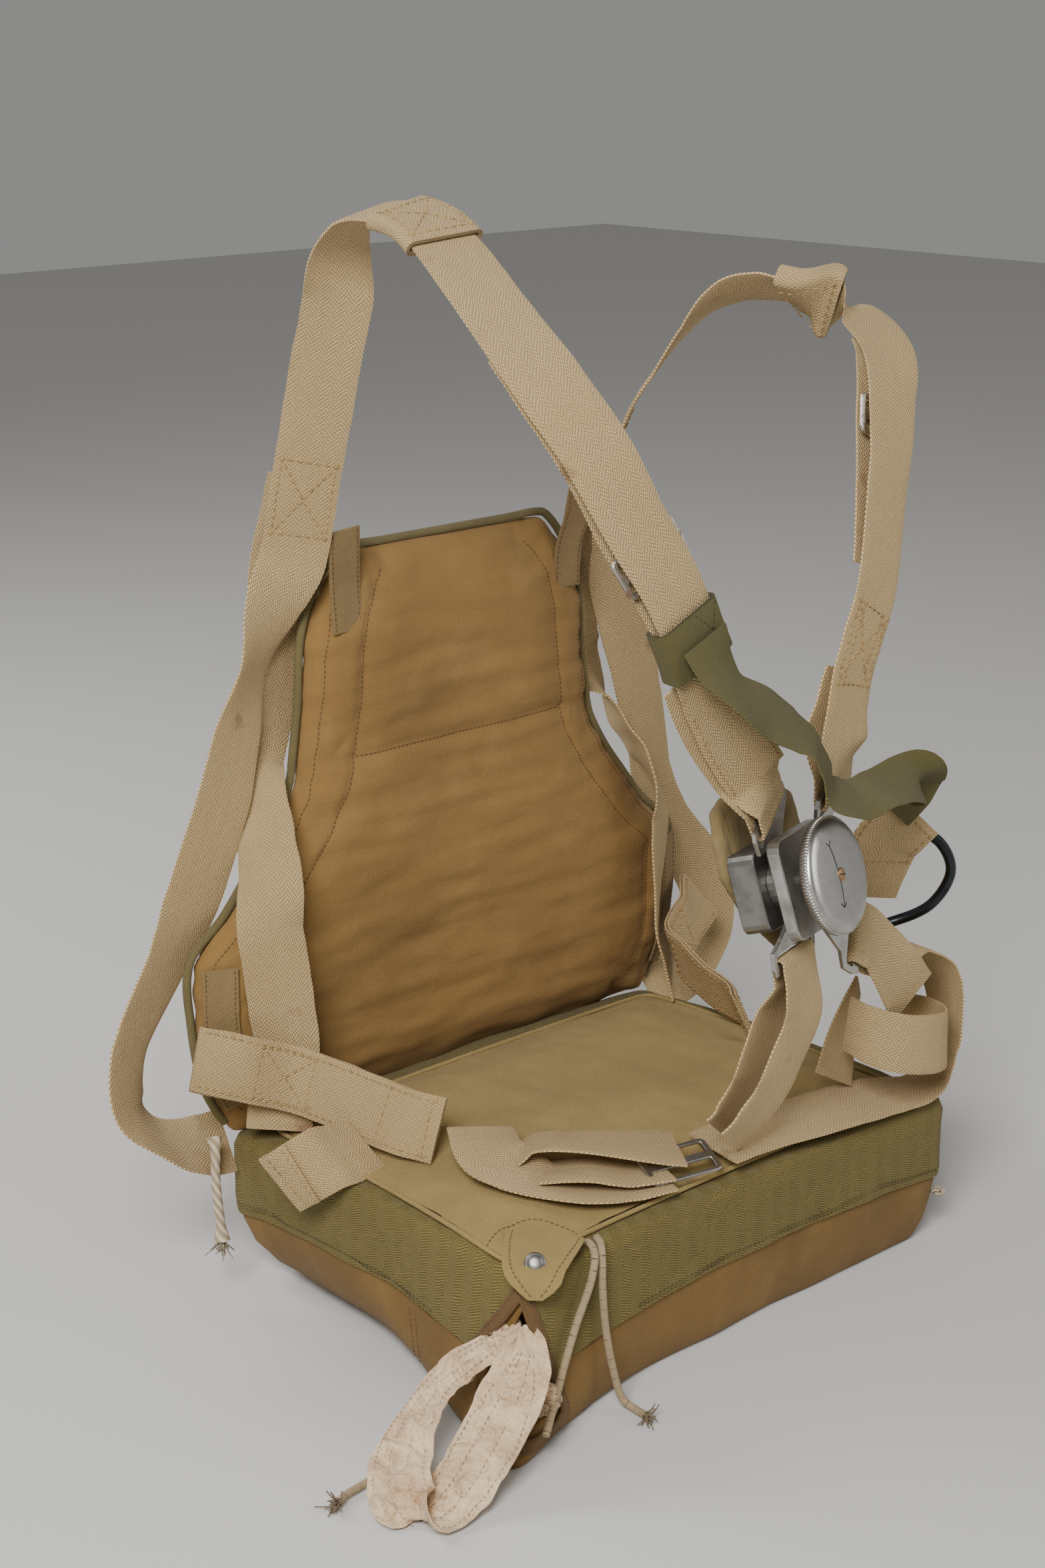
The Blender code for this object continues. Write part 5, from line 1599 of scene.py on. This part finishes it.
# the step along the tab that the snap sits on
SNAP_STEP = 48
SNAP_DOME = ((6.6, -1.6), (6.9, -0.9), (6.6, -0.3), (5.6, 0.1), (5.0, 0.2), (4.4, 0.9), (3.0, 1.4), (1.2, 1.6),
             (0.3, 1.62))
face = tab_frames[2][SNAP_STEP]
turned("tab_snap_dome", SNAP_DOME, middle_of("tab_snap"), face * np.sign(face[2]), dark_steel, "steel",
       "tab_snap", steps=40)
print("tab length in mm:", round(tab_long))

# %% [markdown]
# The lock opens by turning its disc a quarter and then pressing it. The disc and its screw turn,
# the spindle moves in with them, and everything else stays. The rim is knurled: one small bar
# is repeated round it by Geometry Nodes.

# %% Lock metal
METAL = (
    (rusty_steel, ("slide_right", "slide_left")),
    (steel, ("leg_slide", "lug_upper_right", "lug_upper_left", "lug_lower_right", "lug_lower_left",
             "lock_plate", "lock_spindle")),
    (dark_steel, ("lock_base", "lock_boss")),
)
for finish, names in METAL:
    for name in names:
        nodes[name].data.materials.clear()
        nodes[name].data.materials.append(finish)

r = DISC_RADIUS
DISC = ((0.2, 0.0), (5.5, 0.0), (r - 9.0, 0.0), (r - 4.0, -0.5), (r - 2.0, -1.5), (r - 0.6, -3.0),
        (r - 0.6, -8.5), (r - 2.0, -DISC_THICK), (17.0, -DISC_THICK), (16.0, -14.0), (0.2, -14.0))
turned("lock_disc_plate", DISC, DISC_FACE, LOCK_OUT, steel, "steel", "lock_disc", steps=128, body="turned")
SCREW = ((4.6, 0.05), (4.4, 0.5), (3.2, 0.9), (1.4, 1.05), (0.2, 1.1))
turned("lock_disc_screw", SCREW, DISC_FACE, LOCK_OUT, brass, "steel", steps=32, body="turned")

level = Vector((0, 0, 1)).cross(LOCK_OUT).normalized()
over = LOCK_OUT.cross(level)


def on_disc(u, v, off):
    return np.array(DISC_FACE + level * u + over * v + LOCK_OUT * off)


def groove_shade_strip(name, points, off=0.06, thickness=0.12):
    """A line cut in the disc's face or its screw: the shade in its groove is painted as a thin dark strip."""
    middle = np.array([on_disc(u, v, off) for u, v in points])
    frames = strip_frames(middle, [tuple(LOCK_OUT)] * len(middle))
    line = skin(name, [strap_layer(frames, GROOVE_SHADE_WIDTH, thickness, waver=0.0)], black_paint_and_groove_shade)
    settle(line, "dark_steel", body="turned")


GROOVE_SHADE_WIDTH = 0.9
BOW_WIDE, BOW_LONG, BOW_SHIFT, BOW_HALF_TURN = 13.0, 30.0, 16.0, 0.75
bow = [(BOW_WIDE * math.cos(a) - BOW_SHIFT, BOW_LONG * math.sin(a))
       for a in np.linspace(-BOW_HALF_TURN, BOW_HALF_TURN, 30)]
(u, v), (a, b) = bow[0], bow[-1]
# the turning arrow and the screw's slot are grooves whose shade is painted as dark strips
groove_shade_strip("turning_mark", bow)
groove_shade_strip("turning_mark_head", [(u - 3.2, v + 3.6), (u, v), (u + 4.0, v + 2.4)])
groove_shade_strip("turning_mark_tail", [(a - 3.0, b + 2.8), (a, b), (a + 2.6, b + 3.2)])
groove_shade_strip("screw_slot", [(-3.4 + 0.68 * k, 0.9 - 0.18 * k) for k in range(11)], 1.02, 0.3)
print("lock disc, screw and marks ride on 'turned'")

# %% [markdown]
# The pull handle is bent from thick blackened rod. Silk from the pack hangs out of the near
# corner in a long hemmed loop, and a gathered end of it shows in the pocket beside.

# %% Handle and silk
D_HANDLE = (
    (150, -123.9, 303.8),
    (178, -130, 309),
    (200, -139, 297),
    (213, -140, 272),
    (206, -128, 246),
    (188, -105, 231),
    (160, -98, 230),
    (148, -99, 250),
    (146, -108, 284),
)
tube("pull_handle_rod", curve_through(D_HANDLE, 10, True), 3.75, black_paint_and_groove_shade, "steel", "d_handle",
     sides=20, closed=True)

SILK = (
    # x, y, z, turn, tilt of the width
    (-208.4, -154.6, 79, -45, 0),
    (-213, -159, 74, -45, 5),
    (-224, -166, 62, -50, 10),
    (-243, -172, 45, -55, 12),
    (-267, -177, 26, -60, 8),
    (-292, -181, 9, -62, 4),
    (-314, -184, 3.5, -64, 0),
    (-323, -177, 6, -50, 6),
    (-320, -161, 14, -40, 16),
    (-300, -141, 24, -38, 26),
    (-272, -127, 35, -36, 34),
    (-247, -123, 46, -60, 28),
    (-232, -131, 57, -98, 10),
    (-219, -141, 68, -114, 0),
    (-209, -148, 77, -118, 0),
)
SILK_WIDTH = [6, 20, 36, 44, 44, 42, 40, 38, 40, 42, 42, 38, 32, 26, 16]
SILK_THICK = 1.4
SILK_LOW = 3.0
SILK_FLATTEN = 0.16
silk_frames = webbing_frames(SILK, 18)


def crumpled_layer(frames, width, thickness, points):
    """Strap section with many points across, creased along and across like packed silk."""
    middle, across, face = frames
    count = len(middle)
    along = distance(middle)
    half = spread(width, count)[:, 0] / 2
    shares = np.linspace(-1, 1, points)
    columns = np.concatenate([shares, shares[::-1]])
    side = np.repeat([1.0, -1.0], points) * (1 - 0.4 * np.abs(columns) ** 16)
    half = half * np.array([1 + 0.10 * noise.noise(Vector((a / 16.0, 5.5, 0.0))) for a in along])
    rings = middle[:, None] + across[:, None] * (columns * half[:, None])[..., None]
    crease = np.zeros((count, points))
    for i in range(count):
        for k in range(points):
            u = shares[k] * half[i]
            fold = noise.noise(Vector((u / 11.0, along[i] / 30.0, 1.3)))
            small = noise.noise(Vector((u / 16.0, (along[i] + 0.5 * u) / 7.0, 7.7)))
            hem = min(1.0, 0.25 + (1 - abs(shares[k])) * 2.5)
            crease[i, k] = (3.2 * (0.5 - abs(fold) * 2.0) + 5.6 * small) * hem
    crease = np.concatenate([crease, crease[:, ::-1]], axis=1)
    rings = rings + face[:, None] * (side * thickness / 2 + crease)[..., None]
    z = rings[..., 2]
    rings[..., 2] = np.where(z < SILK_LOW, SILK_LOW - (SILK_LOW - z) * SILK_FLATTEN, z)
    u = columns * half[:, None]
    flat = np.stack([u, np.broadcast_to(along[:, None], u.shape)], axis=-1)
    return rings, np.concatenate([flat, flat[:, :1]], axis=1)


loop = skin("silk_loop_cloth", [crumpled_layer(silk_frames, SILK_WIDTH, SILK_THICK, 26)], silk)
settle(loop, "silk", "silk_loop")
silk_long = distance(silk_frames[0])[-1]
spots = np.linspace(20.0, silk_long - 12.0, 150)
silk_half = half_width(SILK_WIDTH, spots / silk_long)
for side in (1, -1):
    for sign in (1, -1):
        sew("thread_silk", on_strap(silk_frames, spots, sign * (silk_half - 4.0), side * 1.7))
        sew("thread_silk", on_strap(silk_frames, spots, sign * silk_half * 0.3, side * 2.6))

PUFF_SIZE = (15.0, 11.0, 12.0)
PUFF_AT = NEAR_CORNER + DIAGONAL * 12.0 + SIDEWAYS * 6.0 + np.array([0, 0, 33.0])
ball = bmesh.new()
bmesh.ops.create_icosphere(ball, subdivisions=5, radius=1.0)
for point in ball.verts:
    p = point.co.copy()
    fold = noise.noise(Vector((p.x * 2.2 + p.z, p.y * 2.2, p.z * 5.0 + 4.0)))
    p = p * (1.0 - 0.34 * abs(fold) * 2.0) + Vector((0, 0, 0.12 * noise.noise(point.co * 6.0)))
    place = PUFF_AT + SIDEWAYS * p.x * PUFF_SIZE[0] + DIAGONAL * p.y * PUFF_SIZE[1]
    point.co = Vector(place + np.array([0, 0, p.z * PUFF_SIZE[2]])) * MM
puff_mesh = bpy.data.meshes.new("silk_puff")
bmesh.ops.recalc_face_normals(ball, faces=ball.faces)
ball.to_mesh(puff_mesh)
ball.free()
puff_mesh.materials.append(silk)
puff_mesh.shade_smooth()
puff = bpy.data.objects.new("silk_puff", puff_mesh)
scene.collection.objects.link(puff)
settle(puff, "silk")

# %% [markdown]
# Two elastic cords come from under the cushion: one goes into the pocket with the silk, the
# other hangs to the floor with a frayed end. A third end sticks out of the silk loop, and a
# white rope hangs from the rear corner. Each cord is one tube of its real length.

# %% Cords
CORD_A = (
    (-150, -146.5, 112.4),
    (-152, -153, 112),
    (-156, -159, 107),
    (-163, -162, 93),
    (-176, -164, 73),
    (-190, -168, 52),
    (-204, -174, 34),
    (-222, -184, 20),
)
CORD_A_FLOOR = (
    (-299.3, -136.1, 20.6),
    (-303, -131, 9),
    (-318, -128, 3.2),
    (-336, -130, 3.2),
    (-344, -133, 3.2),
)
CORD_B = (
    (-142, -146.5, 112.9),
    (-145, -153, 112.1),
    (-149, -158.5, 106),
    (-151, -161, 88),
    (-150, -163, 60),
    (-146, -166, 30),
    (-141, -170, 8),
    (-138, -178, 3.2),
    (-139, -188, 3.2),
)
WHITE_CORD = (
    (-232, 133, 118),
    (-234, 129, 108),
    (-236, 127.2, 89),
    (-236, 124, 62),
    (-236, 122, 46),
)
# a kind of cord: diameter, radius along it, finish, slot, stiffness; the rope is thicker at its two knots
ELASTIC = (5.0, 2.5, elastic_braid, "cord_cream", "medium")
ROPE = (6.5, [3.25 * k for k in (1.625, 1.15, 1, 1, 1, 1, 1.7)], white_rope, "cord_white", "limp")
CORDS = (
    # piece, solid, route, kind of cord, what its far end is, lay
    ("elastic_cord_near", "elastic_cord_a", CORD_A, ELASTIC, "object", "hanging"),
    ("elastic_cord_tip", "elastic_cord_a_end", CORD_A_FLOOR, ELASTIC, "bare", "loose"),
    ("elastic_cord_far", "elastic_cord_b", CORD_B, ELASTIC, "bare", "hanging"),
    ("white_rope_tie", "white_cord", WHITE_CORD, ROPE, "knot", "hanging"),
)
STRAND_SIDES = 4
STRANDS = 36
STRAND_LENGTH = 11.0


def fray(name, tip, direction, finish, slot, seed):
    """A tuft of loose strands at the end of a cord."""
    rolls = random.Random(seed)
    layers = []
    for _ in range(STRANDS):
        aim = direction + np.array([rolls.uniform(-0.75, 0.75) for _ in range(3)])
        aim /= np.linalg.norm(aim)
        bend = np.array([rolls.uniform(-0.5, 0.5) for _ in range(3)])
        long = STRAND_LENGTH * rolls.uniform(0.5, 1.0)
        start = tip + np.array([rolls.uniform(-1.2, 1.2) for _ in range(3)])
        line = [start + aim * long * t + bend * long * t * t for t in np.linspace(0, 1, 6)]
        line = [np.array([x, y, max(z, 0.5)]) for x, y, z in line]
        layers.append(tube_layer(line, [0.6, 0.4], STRAND_SIDES))
    return settle(skin(name, layers, finish), slot)


for name, solid, route, (diameter, radius, finish, slot, stiffness), far_end, lay in CORDS:
    path = curve_through(route, 8)
    piece = tube(name, path, radius, finish, slot, solid, sides=14)
    along = path[-1] - path[-3]
    tuft = []
    if far_end in ("bare", "knot"):
        along /= np.linalg.norm(along)
        tuft = [fray(name + "_frayed_end", path[-1], along, finish, slot, len(name))]
    print(name, round(distance(path)[-1]), "mm long")

KNOT_SIZE = 1.45
turn = np.linspace(0, 2 * math.pi, 60, endpoint=False)
knot = np.stack([np.sin(turn) + 2 * np.sin(2 * turn), np.cos(turn) - 2 * np.cos(2 * turn),
                 -np.sin(3 * turn)], axis=1)
tube("corner_knot_cord", middle_of("corner_knot") + knot * KNOT_SIZE, 1.4, white_rope, "cord_white",
     "corner_knot", sides=8, closed=True)

# %% [markdown]
# Geometry Nodes repeat what is small and regular. The stitch tree takes lines of points, makes
# them curves, sets one bead of thread at every pitch and turns it along the line. The knurl
# tree sets one bar at every step round the disc. Both end as plain meshes.

# %% Node trees for stitches and knurling


def geometry_tree(name, sizes):
    """Empty tree with a geometry in and out and one named input for each size."""
    tree = bpy.data.node_groups.new(name, "GeometryNodeTree")
    for way in ("INPUT", "OUTPUT"):
        tree.interface.new_socket("Geometry", in_out=way, socket_type="NodeSocketGeometry")
    for size in sizes:
        tree.interface.new_socket(size, in_out="INPUT", socket_type="NodeSocketFloat")
    return tree, tree.nodes.new("NodeGroupInput"), tree.nodes.new("NodeGroupOutput")


def repeated(tree, points, instance, turned_to, output, finish, **sockets):
    """Set the instance on every point, turned to a direction, and give it its material."""
    turn = add(tree, "FunctionNodeAlignRotationToVector", {"Vector": turned_to.outputs[0]}, axis="X")
    sockets.update(Points=points.outputs[0], Instance=instance.outputs[0], Rotation=turn.outputs[0])
    instances = add(tree, "GeometryNodeInstanceOnPoints", sockets)
    real = add(tree, "GeometryNodeRealizeInstances", {0: instances.outputs[0]})
    painted = add(tree, "GeometryNodeSetMaterial", {"Geometry": real.outputs[0], "Material": finish})
    tree.links.new(painted.outputs[0], output.inputs[0])
    return tree


def stitch_tree(finish):
    tree, inside, output = geometry_tree("stitches_" + finish.name, ("Pitch", "Half length", "Thickness"))
    curve = add(tree, "GeometryNodeMeshToCurve", {"Mesh": inside.outputs["Geometry"]})
    spots = add(tree, "GeometryNodeResampleCurve", {"Curve": curve.outputs[0]}, mode="LENGTH")
    tree.links.new(inside.outputs["Pitch"], spots.inputs["Length"])
    bead = add(tree, "GeometryNodeMeshUVSphere", {"Segments": 6, "Rings": 5, "Radius": 1.0})
    thick = inside.outputs["Thickness"]
    sizes = add(tree, "ShaderNodeCombineXYZ", {0: inside.outputs["Half length"], 1: thick, 2: thick})
    along = add(tree, "GeometryNodeInputTangent")
    return repeated(tree, spots, bead, along, output, finish, Scale=sizes.outputs[0])


def knurl_tree(finish):
    tree, inside, output = geometry_tree("knurl", ("Bars", "Radius", "Bar width", "Bar length"))
    count = add(tree, "FunctionNodeFloatToInt", {0: inside.outputs["Bars"]})
    sockets = {"Vertices": count.outputs[0], "Radius": inside.outputs["Radius"]}
    ring = add(tree, "GeometryNodeMeshCircle", sockets)
    wide = inside.outputs["Bar width"]
    sizes = add(tree, "ShaderNodeCombineXYZ", {0: wide, 1: wide, 2: inside.outputs["Bar length"]})
    bar = add(tree, "GeometryNodeMeshCube", {"Size": sizes.outputs[0]})
    place = add(tree, "GeometryNodeInputPosition")
    return repeated(tree, ring, bar, place, output, finish)


def run_tree(name, verts, edges, tree, sizes, matrix=None):
    """Run a tree on a small mesh and return its plain result."""
    mesh = bpy.data.meshes.new(name)
    mesh.from_pydata([tuple(v) for v in verts], edges, [])
    piece = bpy.data.objects.new(name, mesh)
    scene.collection.objects.link(piece)
    repeat = piece.modifiers.new("repeat", "NODES")
    repeat.node_group = tree
    for socket in tree.interface.items_tree:
        if socket.item_type == "SOCKET" and socket.in_out == "INPUT" and socket.name in sizes:
            repeat[socket.identifier] = sizes[socket.name]
    applied(piece)
    if matrix is not None:
        piece.data.transform(matrix)
    piece.data.shade_smooth()
    return piece


print("node trees are ready")

# %% Sew and knurl
THREADS = (
    # thread, finish, slot, pitch, half of a stitch, thickness
    ("thread_cream", thread_cream, "webbing", 5.4, 2.05, 0.62),
    ("thread_brown", thread_brown, "canvas_brown", 3.6, 1.4, 0.42),
    ("thread_olive", thread_olive, "band_olive", 3.8, 1.45, 0.42),
    ("thread_silk", thread_silk, "silk", 3.9, 1.4, 0.36),
)
for thread, finish, slot, pitch, half_length, thick in THREADS:
    verts, edges = [], []
    for line in SEAMS[thread]:
        first = len(verts)
        verts.extend(line * MM)
        edges += [(first + k, first + k + 1) for k in range(len(line) - 1)]
    sewn = run_tree("stitches_" + thread, verts, edges, stitch_tree(finish),
                    {"Pitch": pitch * MM, "Half length": half_length * MM, "Thickness": thick * MM})
    settle(sewn, slot)
    print(thread, len(SEAMS[thread]), "lines,", len(sewn.data.polygons), "faces")

KNURL = {"Bars": 110.0, "Radius": 0.0383, "Bar width": 0.0011, "Bar length": 0.0052}
KNURL_DEPTH = 5.75
on_face = Matrix((tuple(level), tuple(over), tuple(LOCK_OUT))).transposed().to_4x4()
disc_place = Matrix.Translation((DISC_FACE - LOCK_OUT * KNURL_DEPTH) * MM) @ on_face
knurl = run_tree("lock_disc_knurl", [(0, 0, 0)], [], knurl_tree(steel), KNURL, disc_place)
settle(knurl, "steel", body="turned")
print("knurl faces:", len(knurl.data.polygons))
